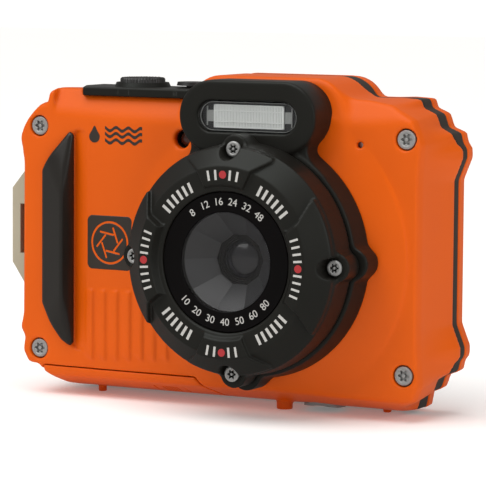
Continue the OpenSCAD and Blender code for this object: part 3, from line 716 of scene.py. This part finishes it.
def front_feet(g, d):
    """Hole round the tripod socket and the two feet beside it."""
    socket_x, socket_y, socket_r = 24, 9.5, 5.05
    d = cut(d, both(disc(g.x, g.y, socket_x, socket_y, socket_r), g.z - 5.0), 0.3)
    d = foot(g, d, 15.4, 5.3, 1.9, 5.0, 0.5)
    return foot(g, d, 38.6, 12.5, 1.0)


def gasket():
    g = Grid((-58, SEAM_Y - WIDER - 0.6, -1), (58, SEAM_BACK_Y + 0.6, 80), 0.4)
    inset = 0.14
    body = join(seam_outline(g) + inset, both(hump2(g, inset), HUMP_FOOT_Z - g.z), 1.2)
    d = meet(body, both(seam_plane(g) - g.y, g.y - SEAM_BACK_Y), 0.2)
    d = cut(d, either(room2(g), hump2(g, WALL)), 0.2)
    show(surface("seam_gasket", d, g, SEAL), "shell_gasket")


def rear_shell():
    g = Grid((-59, SEAM_BACK_Y - 1, -1.5), (59, 24, 80), 0.42)
    inset = np.interp(g.y, [SEAM_BACK_Y, 21.4, BACK_Y, BACK_Y + 2], [0.0, 0.25, 0.9, 3.0])
    side = join(seam_outline(g), both(hump2(g), HUMP_FOOT_Z - g.z), 1.6) + inset
    d = meet(meet(side, g.y - BACK_Y, 0.7), SEAM_BACK_Y - g.y, 0.15)
    d = cut(d, both(either(room2(g), hump2(g, WALL)), g.y - (BACK_Y - WALL)), 0.2)
    low, high = span("lcd_window")
    room, well_floor = 0.35, 21.0
    well = box2(g.x, g.z, (low[0] - room, low[2] - room), (high[0] + room, high[2] + room), 1.6)
    d = cut(d, both(well, well_floor - g.y), 0.3)
    screen_hole = box2(g.x, g.z, (-13, 20), (39.5, 56), 0.5)
    d = cut(d, screen_hole, 0.2)
    key_r, pad_r, key_room = 2.6, 9.0, 0.3
    for key, r in (("play_button", key_r), ("video_button", key_r), ("menu_button", key_r),
                   ("delete_button", key_r), ("direction_pad", pad_r)):
        d = cut(d, disc(g.x, g.z, *middle(key), r + key_room), 0.4)
    d = cut(d, stadium2(g.x, g.z, *middle("zoom_rocker"), 6.9, 3.6), 0.4)
    lamp_hole = disc(g.x, g.z, -20.5, 64.0, 0.95)
    d = cut(d, lamp_hole, 0.2)
    for x in (-38, 40):
        d = foot(g, d, x, 20.0, 1.4)
    show(surface("rear_casing", d, g, ORANGE, keep=0.5), "rear_shell")


def battery_door():
    g = Grid((-48, -7, -1), (3, 15, 9), 0.3)
    d = meet(casing(g), both(door2(g), g.y - DOOR_BACK_Y), 0.25)
    inner = both(slab(g.x, -40.4, -6.2), slab(g.y, -1.2, DOOR_BACK_Y - 1.2))
    inner = both(inner, both(low_bevel(g, BEVEL_WALL), 2.9 - g.z))
    d = cut(d, inner, 0.2)
    arm = box2(g.y, g.z, (DOOR_BACK_Y - 0.3, BODY_BOTTOM), (HINGE_Y, HINGE_Z + 1.0))
    knuckle = either(disc(g.y, g.z, HINGE_Y, HINGE_Z, HINGE_R), arm)
    d = join(d, both(knuckle, slab(g.x, -37.3, -3.9)), 0.2)
    pin_hole = disc(g.y, g.z, HINGE_Y, HINGE_Z, 0.65)
    d = cut(d, pin_hole, 0.1)
    d = cut(d, latch_field(g, 0.18), 0.15)
    d = foot(g, d, -36.0, 8.8, 1.0, k=0.2)
    show(surface("battery_hatch", d, g, ORANGE), "battery_door", "battery_door")


def latch_field(g, grow=0.0):
    """Sliding latch plate, set into the sloping front of the door."""
    along, across = -0.92, -0.39
    mid_x, mid_y, mid_z, half_w, half_run, depth = -13.0, 2.3, 3.0, 4.1, 2.0, 0.95
    off = (g.y - mid_y) * across + (g.z - mid_z) * along
    run = (g.y - mid_y) * -along + (g.z - mid_z) * across
    low, high = (mid_x - half_w - grow, -half_run - grow), (mid_x + half_w + grow, half_run + grow)
    return both(box2(g.x, run, low, high, 0.6), -depth - off)


def door_latch():
    """Latch plate with five grip grooves across it."""
    g = Grid((-19, -2, -1), (-7, 7, 7), 0.16)
    mid_x, pitch, groove_w, groove_depth = -13.0, 0.9, 0.2, 0.35
    d = both(low_bevel(g) + 0.1, latch_field(g))
    for k in range(-2, 3):
        groove = np.abs(g.x - mid_x - pitch * k) - groove_w
        d = cut(d, both(groove, -groove_depth - low_bevel(g)), 0.1)
    show(surface("latch_slide", d, g, ORANGE), "door_latch", "latch")


def lens_base():
    """Black base of the lens port and the flash hood, in one piece."""
    g = Grid((LENS_X - 32, -13, LENS_Z - 32), (LENS_X + 33, -1, HOOD_Z + 10), 0.36)
    front_r, lug_at, lug_r, bore_r, neck_r, neck_foot = 27.4, 27.0, 3.6, 20.2, 27.6, 56
    radius = disc(g.x, g.z, LENS_X, LENS_Z, 0)
    ring = radius - np.interp(g.y, [BASE_FRONT_Y, SEAT_Y], [front_r, BASE_R])
    for u, v in quarter_points(lug_at):
        ring = join(ring, disc(g.x, g.z, LENS_X + u, LENS_Z + v, lug_r), 1.5)
    ring = meet(ring, slab(g.y, BASE_FRONT_Y, SEAT_Y), 0.4)
    hood2 = stadium2(g.x, g.z, LENS_X, HOOD_Z, HOOD_HALF_W, HOOD_R)
    hood = meet(hood2 - 0.25, HOOD_FRONT_Y - g.y, 0.7)
    hood = both(hood, g.y - HUMP_FRONT_Y - 1.0)
    neck = both(join(hood2, radius - neck_r, 6.0), neck_foot - g.z)
    neck = meet(neck, slab(g.y, BASE_FRONT_Y + 0.3, SEAT_Y + 0.3), 0.8)
    d = join(join(ring, hood, 0.8), neck, 0.5)
    d = cut(d, radius - bore_r, 0.3)
    window = stadium2(g.x, g.z, LENS_X, HOOD_Z, WINDOW_HALF_W + 0.2, WINDOW_R + 0.2)
    d = cut(d, both(window, g.y + 4.6), 0.45)
    show(surface("hood_and_base", d, g, BLACK, keep=0.6), "lens_base")


def raised(radius, g, section, plan, lean):
    """Raised part of the bezel: a turned section inside a plan, with end walls that lean inward."""
    return meet(outline(radius, -g.y, section), plan + lean * (-g.y - BLOCK_FACE - 1.0), 0.22)


def lens_bezel():
    """Low diagonal blocks, high sectors at the sides and trays at the top and bottom."""
    g = Grid((LENS_X - 31, -25, LENS_Z - 31), (LENS_X + 31, -10.5, LENS_Z + 31), 0.3)
    u, v = g.x - LENS_X, g.z - DIAL_Z
    radius = disc(g.x, g.z, LENS_X, LENS_Z, 0)
    back, rim = -BEZEL_BACK_Y, 26.75
    blocks = [(16.1, 20.2), (16.1, 21.4), (16.55, BLOCK_FACE), (21.6, BLOCK_FACE), (26.3, 18.1), (rim, back),
              (20.4, back), (20.4, 20.2)]
    sector = [(16.8, back), (16.8, 21.6), (18.0, SECTOR_FACE), (21.0, SECTOR_FACE), (26.0, 19.8), (rim, back)]
    tray = [(16.9, back), (16.9, 21.6), (17.8, TRAY_FACE), (21.9, TRAY_FACE), (26.0, 19.2), (rim, back)]
    flank = [(14.0, -7.9), (16.1, -7.9), (18.9, -10.1), (21.3, -14.6), (31, -18.4)]
    flank += [(a, -b) for a, b in flank[::-1]]
    crown = [(4.9, 15), (4.9, 17.2), (6.8, 21.0), (10.2, 23.4), (11.5, 29)]
    crown += [(-a, b) for a, b in crown[::-1]]
    d = outline(radius, -g.y, blocks)
    d = join(d, raised(radius, g, sector, outline(np.abs(u), v, flank), 0.22), 0.12)
    d = join(d, raised(radius, g, tray, outline(u, np.abs(v), crown), 0.15), 0.12)
    lug_r, lug_face, well_r, well_y = 3.3, -17.2, 2.35, -17.1
    for a, b in quarter_points(BEZEL_SCREW_R):
        d = join(d, meet(disc(u, v, a, b, lug_r), slab(g.y, lug_face, BEZEL_BACK_Y), 0.4), 1.0)
    for a, b in quarter_points(BEZEL_SCREW_R):
        d = cut(d, both(disc(u, v, a, b, well_r), g.y - well_y), 0.25)
    show(surface("front_bezel", d, g, BLACK, keep=0.6), "lens_bezel")


def quarter_points(radius):
    """Four points round a middle: right, top, left and bottom."""
    return [(radius * cos(pi / 2 * k), radius * sin(pi / 2 * k)) for k in range(4)]


# ---- turned and flat meshes
def build(name, verts, faces, mat, crease=35, smooth=True):
    mesh = bpy.data.meshes.new(name)
    mesh.from_pydata([tuple(v) for v in np.asarray(verts, float) * MM], [], faces)
    tidy = bmesh.new()
    tidy.from_mesh(mesh)
    bmesh.ops.remove_doubles(tidy, verts=tidy.verts, dist=2e-7)
    bmesh.ops.dissolve_degenerate(tidy, edges=tidy.edges, dist=1e-7)
    bmesh.ops.recalc_face_normals(tidy, faces=tidy.faces)
    tidy.to_mesh(mesh)
    tidy.free()
    obj = finish_mesh(name, mesh, mat, smooth)
    mesh.set_sharp_from_angle(angle=radians(crease))
    return obj


def lathe(name, profile, mat, centre, axis="y", steps=144, crease=35, bumps=None):
    """Turns a closed profile of (radius, height) about Y (height forward) or Z (height up)."""
    verts = []
    for i in range(steps):
        a = i * 2 * pi / steps
        for r, h in profile:
            u, v = centre[0] + r * cos(a), centre[1] + r * sin(a)
            verts.append((u, -h, v) if axis == "y" else (u, v, h))
    if bumps:
        verts = bumps(np.array(verts))
    n = len(profile)
    faces = []
    for i in range(steps):
        here, after = i * n, (i + 1) % steps * n
        faces += [(here + j, here + (j + 1) % n, after + (j + 1) % n, after + j) for j in range(n)]
    return build(name, verts, faces, mat, crease)


def prisms(name, polygons, front_y, depth, mat):
    """Flat plates with outlines in X and Z, their front faces at front_y (one value, or one each)."""
    verts, faces = [], []
    fronts = front_y if isinstance(front_y, list) else [front_y] * len(polygons)
    for polygon, y in zip(polygons, fronts):
        base, n = len(verts), len(polygon)
        verts += [(x, y, z) for x, z in polygon] + [(x, y + depth, z) for x, z in polygon]
        faces.append(tuple(range(base, base + n)))
        faces.append(tuple(range(base + 2 * n - 1, base + n - 1, -1)))
        faces += [(base + i, base + (i + 1) % n, base + n + (i + 1) % n, base + n + i) for i in range(n)]
    return build(name, verts, faces, mat, 30, False)


def circle(x, z, r, steps=28):
    turns = [2 * pi * i / steps for i in range(steps)]
    return [(x + r * cos(a), z + r * sin(a)) for a in turns]


def oblong(x, z, half_w, half_h):
    return [(x + a * half_w, z + b * half_h) for a, b in ((-1, -1), (1, -1), (1, 1), (-1, 1))]


def radial_tick(angle, inner, outer, width):
    c, s = cos(angle), sin(angle)
    half = width / 2
    points = [(inner, -half), (outer, -half), (outer, half), (inner, half)]
    return [(LENS_X + r * c - t * s, DIAL_Z + r * s + t * c) for r, t in points]


def repeat(obj, shifts):
    """Puts copies of the mesh at the shifts, all in the one object."""
    mesh = obj.data
    base = np.array([v.co for v in mesh.vertices])
    verts = np.concatenate([base + np.array(shift) * MM for shift in shifts])
    faces = [tuple(v + k * len(base) for v in p.vertices) for k in range(len(shifts)) for p in mesh.polygons]
    new = bpy.data.meshes.new(mesh.name)
    new.from_pydata([tuple(v) for v in verts], [], faces)
    new.materials.append(mesh.materials[0])
    new.polygons.foreach_set("use_smooth", [True] * len(faces))
    obj.data = new


def figures(name, words, radius, front_y, height, mat):
    """Numbers round the lens axis: (text, angle, upright at the top or at the bottom)."""
    size_for_height, half_depth = 1.35, 0.04
    verts, faces = [], []
    for text, degrees, top in words:
        curve = bpy.data.curves.new("figure", "FONT")
        curve.body = text
        curve.align_x, curve.align_y = "CENTER", "CENTER"
        curve.size = height * size_for_height
        curve.extrude = half_depth
        holder = new_object("figure", curve)
        shaped = holder.evaluated_get(bpy.context.evaluated_depsgraph_get())
        mesh = bpy.data.meshes.new_from_object(shaped)
        bpy.data.objects.remove(holder)
        outward = rect(1, radians(degrees))
        along = outward * (-1j if top else 1j)
        base = len(verts)
        for v in mesh.vertices:
            spot = radius * outward + complex(v.co.x, v.co.y) * along
            verts.append((LENS_X + spot.real, front_y - v.co.z, LENS_Z + spot.imag))
        faces += [tuple(base + i for i in p.vertices) for p in mesh.polygons]
        bpy.data.meshes.remove(mesh)
    return build(name, verts, faces, mat, 30, False)


# ---- small pieces
def dress_cad():
    """Every CAD node takes the look of its slot, and the handled ones get rounded edges."""
    for part in frame["record"]["subparts"]:
        obj = nodes[part["node"]]
        obj.data.materials.clear()
        obj.data.materials.append(SLOT_LOOK[part["material_slot"]])
        if part["node"] in ROUNDED:
            edge = obj.modifiers.new("edge", "BEVEL")
            edge.width, edge.segments = 0.22 * MM, 3
            edge.limit_method, edge.angle_limit = "ANGLE", radians(40)
            edge.harden_normals = True


def grip():
    """Rubber grip: a roof with its crest near the right edge, sloping down to all four sides."""
    g = Grid((-48.5, -6.8, 10), (-35.5, -2.4, 66), 0.22)
    plan = [(-46.1, 54.3), (-46.1, 22.3), (-40.6, 13.6), (-38.4, 12.1), (-37.4, 13.2), (-37.4, 63.0),
            (-38.6, 63.9), (-45.0, 56.0)]
    foot_y, rise, back_y = FRONT_Y, 2.55, -2.6
    above = g.y - foot_y
    left = -(g.x + 47.0) * rise / 6.6 - above
    right = ((g.x + 36.9) * rise / 1.7 - above) / 1.7
    top = ((g.z - 65.3) * rise / 11.0 - above) / 1.03
    low = (-(g.z - 10.8) * rise / 9.5 - above) / 1.03
    d = meet(soften(outline(g.x, g.z, plan), g, 0.5), left, 0.9)
    d = meet(d, right, 0.7)
    d = meet(d, meet(top, low, 0.5), 1.2)
    d = both(d, g.y - back_y)
    show(surface("finger_grip", d, g, GRIP), "grip_pad")


def top_plate():
    """Plate on the top, with a low pad under the power key and a hole for the release key."""
    g = Grid((-41.5, -3, 71), (-5, 16, 75.6), 0.22)
    power_x, release_x, keys_y, pad_r, hole_r = -11.4, -25.0, 8.5, 4.3, 4.6
    plan = outline(g.x, g.y, [(-35.5, -1.9), (-39.4, 6.0), (-39.4, 14.6), (-7.0, 14.6), (-7.0, -1.9)])
    d = meet(plan, slab(g.z, PLATE_SEAT, PLATE_TOP), 0.35)
    pad = both(disc(g.x, g.y, power_x, keys_y, pad_r), slab(g.z, PLATE_TOP - 0.3, PLATE_TOP + 0.1))
    d = join(d, pad, 0.12)
    d = cut(d, disc(g.x, g.y, release_x, keys_y, hole_r), 0.1)
    show(surface("top_panel", d, g, BLACK), "top_plate")


def shutter_key():
    """Release key with a knurled side and a pitted top."""
    low, high = span("shutter_button")
    cx, cy = (low[0] + high[0]) / 2, (low[1] + high[1]) / 2
    r, bottom, top = (high[0] - low[0]) / 2, low[2], high[2]
    grooves, groove_depth, pit_pitch, pit_depth, ring_step = 44, 0.16, 0.85, 0.22, 0.16

    def knurl(v):
        x, y, z = v[:, 0] - cx, v[:, 1] - cy, v[:, 2]
        radius = np.maximum(np.hypot(x, y), 1e-6)
        side = ramp((radius - r + 0.5) / 0.4) * ramp((z - bottom - 0.2) / 0.3)
        groove = groove_depth * (0.5 + 0.5 * np.cos(np.arctan2(y, x) * grooves)) * side
        wave = 2 * pi / pit_pitch
        pits = (0.5 + 0.5 * np.cos(x * wave) * np.cos(y * wave)) * ramp((z - top + 0.45) / 0.2)
        return v - np.stack([x / radius * groove, y / radius * groove, pit_depth * pits], 1)

    flat_r = r - 0.45
    profile = [(0, bottom), (r, bottom), (r, bottom + 0.3), (r, top - 0.55), (r - 0.1, top - 0.25),
               (r - 0.3, top - 0.05)]
    profile += [(max(flat_r - ring_step * i, 0.0), top) for i in range(int(flat_r / ring_step) + 2)]
    obj = lathe("release_key", profile, SLOT_LOOK["key_black"], (cx, cy), "z", 264, 60, knurl)
    show(obj, "shutter_button", "shutter")


def torx(name, centres, r, face_y, depth, replaced):
    """Six-lobed screws, all with the one head: a shallow pan, a lobed recess and a pin in its middle."""
    reach, margin = r + 0.4, 0.4
    g = Grid((-reach, face_y - margin, -reach), (reach, face_y + depth + margin, reach), 0.07)
    pan_r, lobe_r, lobe, pin_r, pan_depth, recess = 0.66 * r, 0.50 * r, 0.12 * r, 0.19 * r, 0.10, 0.95
    radius = np.sqrt(g.x ** 2 + g.z ** 2)
    behind = g.y - face_y
    head = meet(radius - r, slab(g.y, face_y, face_y + depth), 0.35)
    head = cut(head, both(radius - pan_r, behind - pan_depth), 0.12)
    lobes = radius - lobe_r - lobe * np.cos(6 * np.arctan2(g.z, g.x))
    head = cut(head, both(lobes, behind - recess), 0.08)
    head = either(head, both(radius - pin_r, slab(behind, 0.1, 1.0)))
    obj = surface(name, head, g, STEEL)
    repeat(obj, [(x, 0, z) for x, z in centres])
    show(obj, replaced)


def painted_screw_shade():
    """Painted shade: dark discs at the bottoms of the gaps round the corner screws, standing in for the
    shadow in the gaps.
    """
    shade_discs = [circle(x, z, SCREW_R + 0.26) for x, z in CORNERS]
    # These discs are painted shadow in the screw gaps, not parts of the camera.
    show(prisms("screw_gap_painted_shade", shade_discs, SCREW_FACE_Y + 1.0, 0.2, DARK_PRINT_AND_SHADE), "")


def dial_marks():
    """Dots and ticks: on the side sectors, on the trays, and in four groups on the diagonal blocks."""
    lift, thick = 0.05, 0.2
    dots, dot_fronts, ticks, fronts = [], [], [], []

    def group(degrees, places, pitch, inner, outer, width, face):
        for k in places:
            ticks.append(radial_tick(radians(degrees + pitch * k), inner, outer, width))
            fronts.append(-face - lift)

    for side, pole in ((1, 90), (-1, 270)):
        dots.extend([circle(LENS_X + 19.7 * side, DIAL_Z, 0.9), circle(LENS_X, DIAL_Z + 20.2 * side, 0.9)])
        dot_fronts.extend([-SECTOR_FACE - lift, -TRAY_FACE - lift])
        group(90 - 90 * side, (-4, -3, -2, -1, 1, 2, 3, 4), 4.7, 18.6, 20.7, 0.5, SECTOR_FACE)
        group(pole, (-2, -1, 1, 2), 5.2, 19.0, 21.3, 0.55, TRAY_FACE)
    for diagonal in (50.2, 129.8, 230.2, 309.8):
        group(diagonal, np.arange(6) - 2.5, 4.8, 17.7, 20.2, 0.68, BLOCK_FACE)
    show(prisms("dial_ticks", ticks, fronts, thick, WHITE))
    show(prisms("dial_dots", dots, dot_fronts, thick, RED))


def lens_front():
    """Printed ring and port glass, and behind them the faceted funnel, its steps and the front lens."""
    centre = (LENS_X, LENS_Z)
    front, glass_r, ring_r = 21.25, 11.35, NAME_R - 0.05
    back = front - 1.6
    edge = 0.15
    ring = [(glass_r, back), (ring_r, back), (ring_r, front - edge), (ring_r - edge, front),
            (glass_r + edge, front), (glass_r, front - edge)]
    show(lathe("printed_ring", ring, GLOSS, centre), "name_ring")
    pane_r = glass_r - 0.05
    glass = [(0, back), (pane_r, back), (pane_r, front - 0.2), (pane_r - 0.1, front - 0.1), (0, front - 0.1)]
    show(lathe("port_window", glass, PORT, centre), "port_glass")
    mouth, throat, foot = 12.2, 6.0, front - 8.6
    funnel = [(mouth, front - 1.9), (throat, front - 7.2), (throat, foot), (mouth, foot)]
    show(lathe("faceted_baffle", funnel, BAFFLE, centre, steps=10, crease=12), "")
    r, step_top, step_in, step_down, outer = throat, front - 7.4, 0.38, 0.22, throat + 0.3
    stairs = [(outer, front - 8.2)]
    for _ in range(4):
        stairs += [(r, step_top), (r - step_in, step_top), (r - step_in, step_top - step_down)]
        r, step_top = r - step_in, step_top - step_down
    stairs += [(r, front - 8.8), (outer, front - 8.8)]
    show(lathe("inner_steps", stairs, GLOSS, centre, crease=20), "")
    foot, height = 12.2, 1.5
    dome = [(r * sin(t), foot + height * cos(t)) for t in np.linspace(pi / 2, 0, 16)]
    show(lathe("front_dome", dome + [(0, foot)], DOME, centre, crease=60), "front_element")
    words = [(t, 128 - 15.2 * k, True) for k, t in enumerate("8 12 16 24 32 48".split())]
    words += [(t, 222 + 16 * k, False) for k, t in enumerate("10 20 30 40 50 60 80".split())]
    show(figures("ring_figures", words, 13.7, -front - 0.02, 1.75, WHITE))


def flash_unit():
    """Clear pane, dark tray, ribbed prism plate in a bright frame, and the tube's holders at its ends."""
    def bars(places):
        return [oblong(LENS_X + dx, HOOD_Z + dz, half_w, half_h) for dx, dz, half_w, half_h in places]

    def stadium(inset):
        points = stadium_points(WINDOW_HALF_W - inset, WINDOW_R - inset)
        return [(LENS_X + dx, HOOD_Z + dz) for dx, dz in points]

    pane_y = hood_low[1]
    show(prisms("flash_pane", [stadium(0.05)], pane_y, 0.8, FLASH), "flash_window")
    tray = prisms("flash_tray", [stadium(0.2)], pane_y + 1.9, 0.5, BAFFLE)
    show(tray, "flash_reflector flash_tube")
    half_w, half_h, count, front = 8.7, 2.45, 44, pane_y + 1.3
    pitch = 2 * half_w / count
    rods = bars([((k + 0.5) * pitch - half_w, 0, pitch * 0.36, half_h) for k in range(count)])
    show(prisms("flash_prisms", rods, front, 0.5, SILVER), "")
    edges = [(0, dz, half_w + 0.25, 0.12) for dz in (-half_h - 0.1, half_h + 0.1)]
    edges += [(dx, 0, 0.14, half_h + 0.2) for dx in (-half_w - 0.15, half_w + 0.15)]
    edges += [(0, dz, half_w, 0.09) for dz in (-1.25, 1.25)]
    show(prisms("flash_frame", bars(edges), front - 0.15, 0.6, SILVER), "")
    holders = [(side * (half_w + 1.2), 0, 0.85, 1.3) for side in (-1, 1)]
    holders += [(side * (half_w + 2.2), 0, 0.12, 2.2) for side in (-1, 1)]
    show(prisms("tube_holders", bars(holders), front + 0.2, 0.5, STEEL), "")
    rim, inner = stadium(0.15), stadium(0.26)
    hoop = [[rim[i - 1], rim[i], inner[i], inner[i - 1]] for i in range(len(rim))]
    show(prisms("flash_rim", hoop, pane_y + 0.9, 0.3, STEEL), "")


def stadium_points(half, r, steps=20):
    points = []
    for side, start in ((1, -90), (-1, 90)):
        for k in range(steps + 1):
            a = radians(start + 180 * k / steps)
            points.append((side * (half - r) + r * cos(a), r * sin(a)))
    return points


def badge():
    """Plain generic mark: a dark rounded square with an iris of six blades."""
    low, high = span("front_badge")
    g = Grid((low[0] - 0.6, -3.8, low[2] - 0.6), (high[0] + 0.6, -2.2, high[2] + 0.6), 0.13)
    ring_r, blade_r, blade_length, half_line, proud, back_y = 4.9, 2.2, 3.9, 0.2, 0.05, -2.4
    cx, cz = middle("front_badge")
    u, v = g.x - cx, g.z - cz
    radius = np.sqrt(u ** 2 + v ** 2)
    gaps = np.abs(radius - ring_r) - 0.22
    for k in range(6):
        a = radians(60 * k)
        b = a + radians(110)
        du, dv = u - blade_r * cos(a), v - blade_r * sin(a)
        along = du * cos(b) + dv * sin(b)
        off = np.abs(-du * sin(b) + dv * cos(b))
        blade = both(off - half_line, slab(along, 0, blade_length))
        gaps = either(gaps, both(blade, radius - ring_r))
    d = cut(box2(g.x, g.z, (low[0], low[2]), (high[0], high[2]), 1.4), gaps, 0.05)
    d = both(d, slab(g.y, skin_y(g.x) - proud, back_y))
    show(surface("front_mark", d, g, DARK_PRINT_AND_SHADE), "front_badge")


def pictogram():
    """Water drop and waves in place of the lettering."""
    left, right, low, high = -33.4, -18.6, 61.0, 65.6
    cz = (low + high) / 2
    drop_r, length, half_line, drop = 1.45, 3.4, 0.38, []
    for k in range(28):
        a = 2 * pi * k / 28
        up = max(0.0, sin(a))
        drop.append((left + 1.7 + drop_r * cos(a) * (1 - 0.25 * up ** 2),
                     cz - 0.5 + drop_r * sin(a) * (1 + 0.75 * up ** 6)))
    polygons = [drop]
    for z0 in (high - 0.9, cz, low + 0.8):
        xs = np.linspace(left + 4.6, right, 40)
        wave = [(x, z0 + 0.42 * sin((x - left) * 2 * pi / length)) for x in xs]
        for (x0, za), (x1, zb) in zip(wave[:-1], wave[1:]):
            x1 += 0.02
            polygons.append([(x0, za - half_line), (x1, zb - half_line),
                             (x1, zb + half_line), (x0, za + half_line)])
    fronts = [skin_y(p[0][0]) - 0.05 for p in polygons]
    show(prisms("depth_mark", polygons, fronts, 0.2, DARK_PRINT_AND_SHADE))


def af_lamp():
    """Domed focus lamp on a dark floor, in its well."""
    centre, well_r = (AF_X, AF_Z), 2.2
    dome = [(0, 0.6), (1.75, 0.6), (1.75, 1.0), (1.2, 1.35), (0, 1.5)]
    show(lathe("focus_lamp", dome, SLOT_LOOK["lamp_red"], centre, crease=60), "af_lamp")
    wall = [(well_r - 0.08, -2.0), (well_r, -2.0), (well_r, 1.7), (well_r - 0.08, 1.7)]
    show(lathe("lamp_well", wall, DARK_PRINT_AND_SHADE, centre))
    disc_profile = [(0, -0.4), (well_r, -0.4), (well_r, 0.5), (0, 0.5)]
    show(lathe("lamp_floor", disc_profile, GLOSS, centre))


def key_icons():
    """Small raised signs on the back keys."""
    def sign(name, node, body, shapes):
        x, z = middle(node)
        polygons = [[(x - px, z + pz) for px, pz in shape] for shape in shapes]
        show(prisms(name, polygons, span(node)[1][1] - 0.12, 0.16, WHITE), body=body)

    sign("play_sign", "play_button", "play", [[(-0.7, -1.0), (1.1, 0.0), (-0.7, 1.0)]])
    sign("video_sign", "video_button", "video", [circle(0, 0, 0.9, 24)])
    sign("menu_sign", "menu_button", "menu", [oblong(0, z, 1.0, 0.13) for z in (-0.7, 0.0, 0.7)])
    bin_body = [(-0.6, -0.9), (0.6, -0.9), (0.75, 0.6), (-0.75, 0.6)]
    sign("delete_sign", "delete_button", "delete", [bin_body, oblong(0, 0.875, 0.95, 0.125)])
    base, tip, half = 6.3, 7.2, 0.7
    arrows = []
    for c, s in quarter_points(1):
        arrows.append([(base * c + half * s, base * s - half * c), (tip * c, tip * s),
                       (base * c - half * s, base * s + half * c)])
    sign("pad_signs", "direction_pad", "pad", arrows)


def details():
    grip()
    top_plate()
    shutter_key()
    torx("corner_bolts", CORNERS, SCREW_R, SCREW_FACE_Y, 1.1, "corner_screws")
    ring = [(LENS_X + u, DIAL_Z + v) for u, v in quarter_points(BEZEL_SCREW_R)]
    torx("bezel_bolts", ring, 1.78, span("bezel_screws")[0][1], 0.9, "bezel_screws")
    painted_screw_shade()
    dial_marks()
    lens_front()
    flash_unit()
    badge()
    pictogram()
    af_lamp()
    key_icons()


look()
studio()
dress_cad()
front_shell()
gasket()
rear_shell()
battery_door()
door_latch()
lens_base()
lens_bezel()
details()
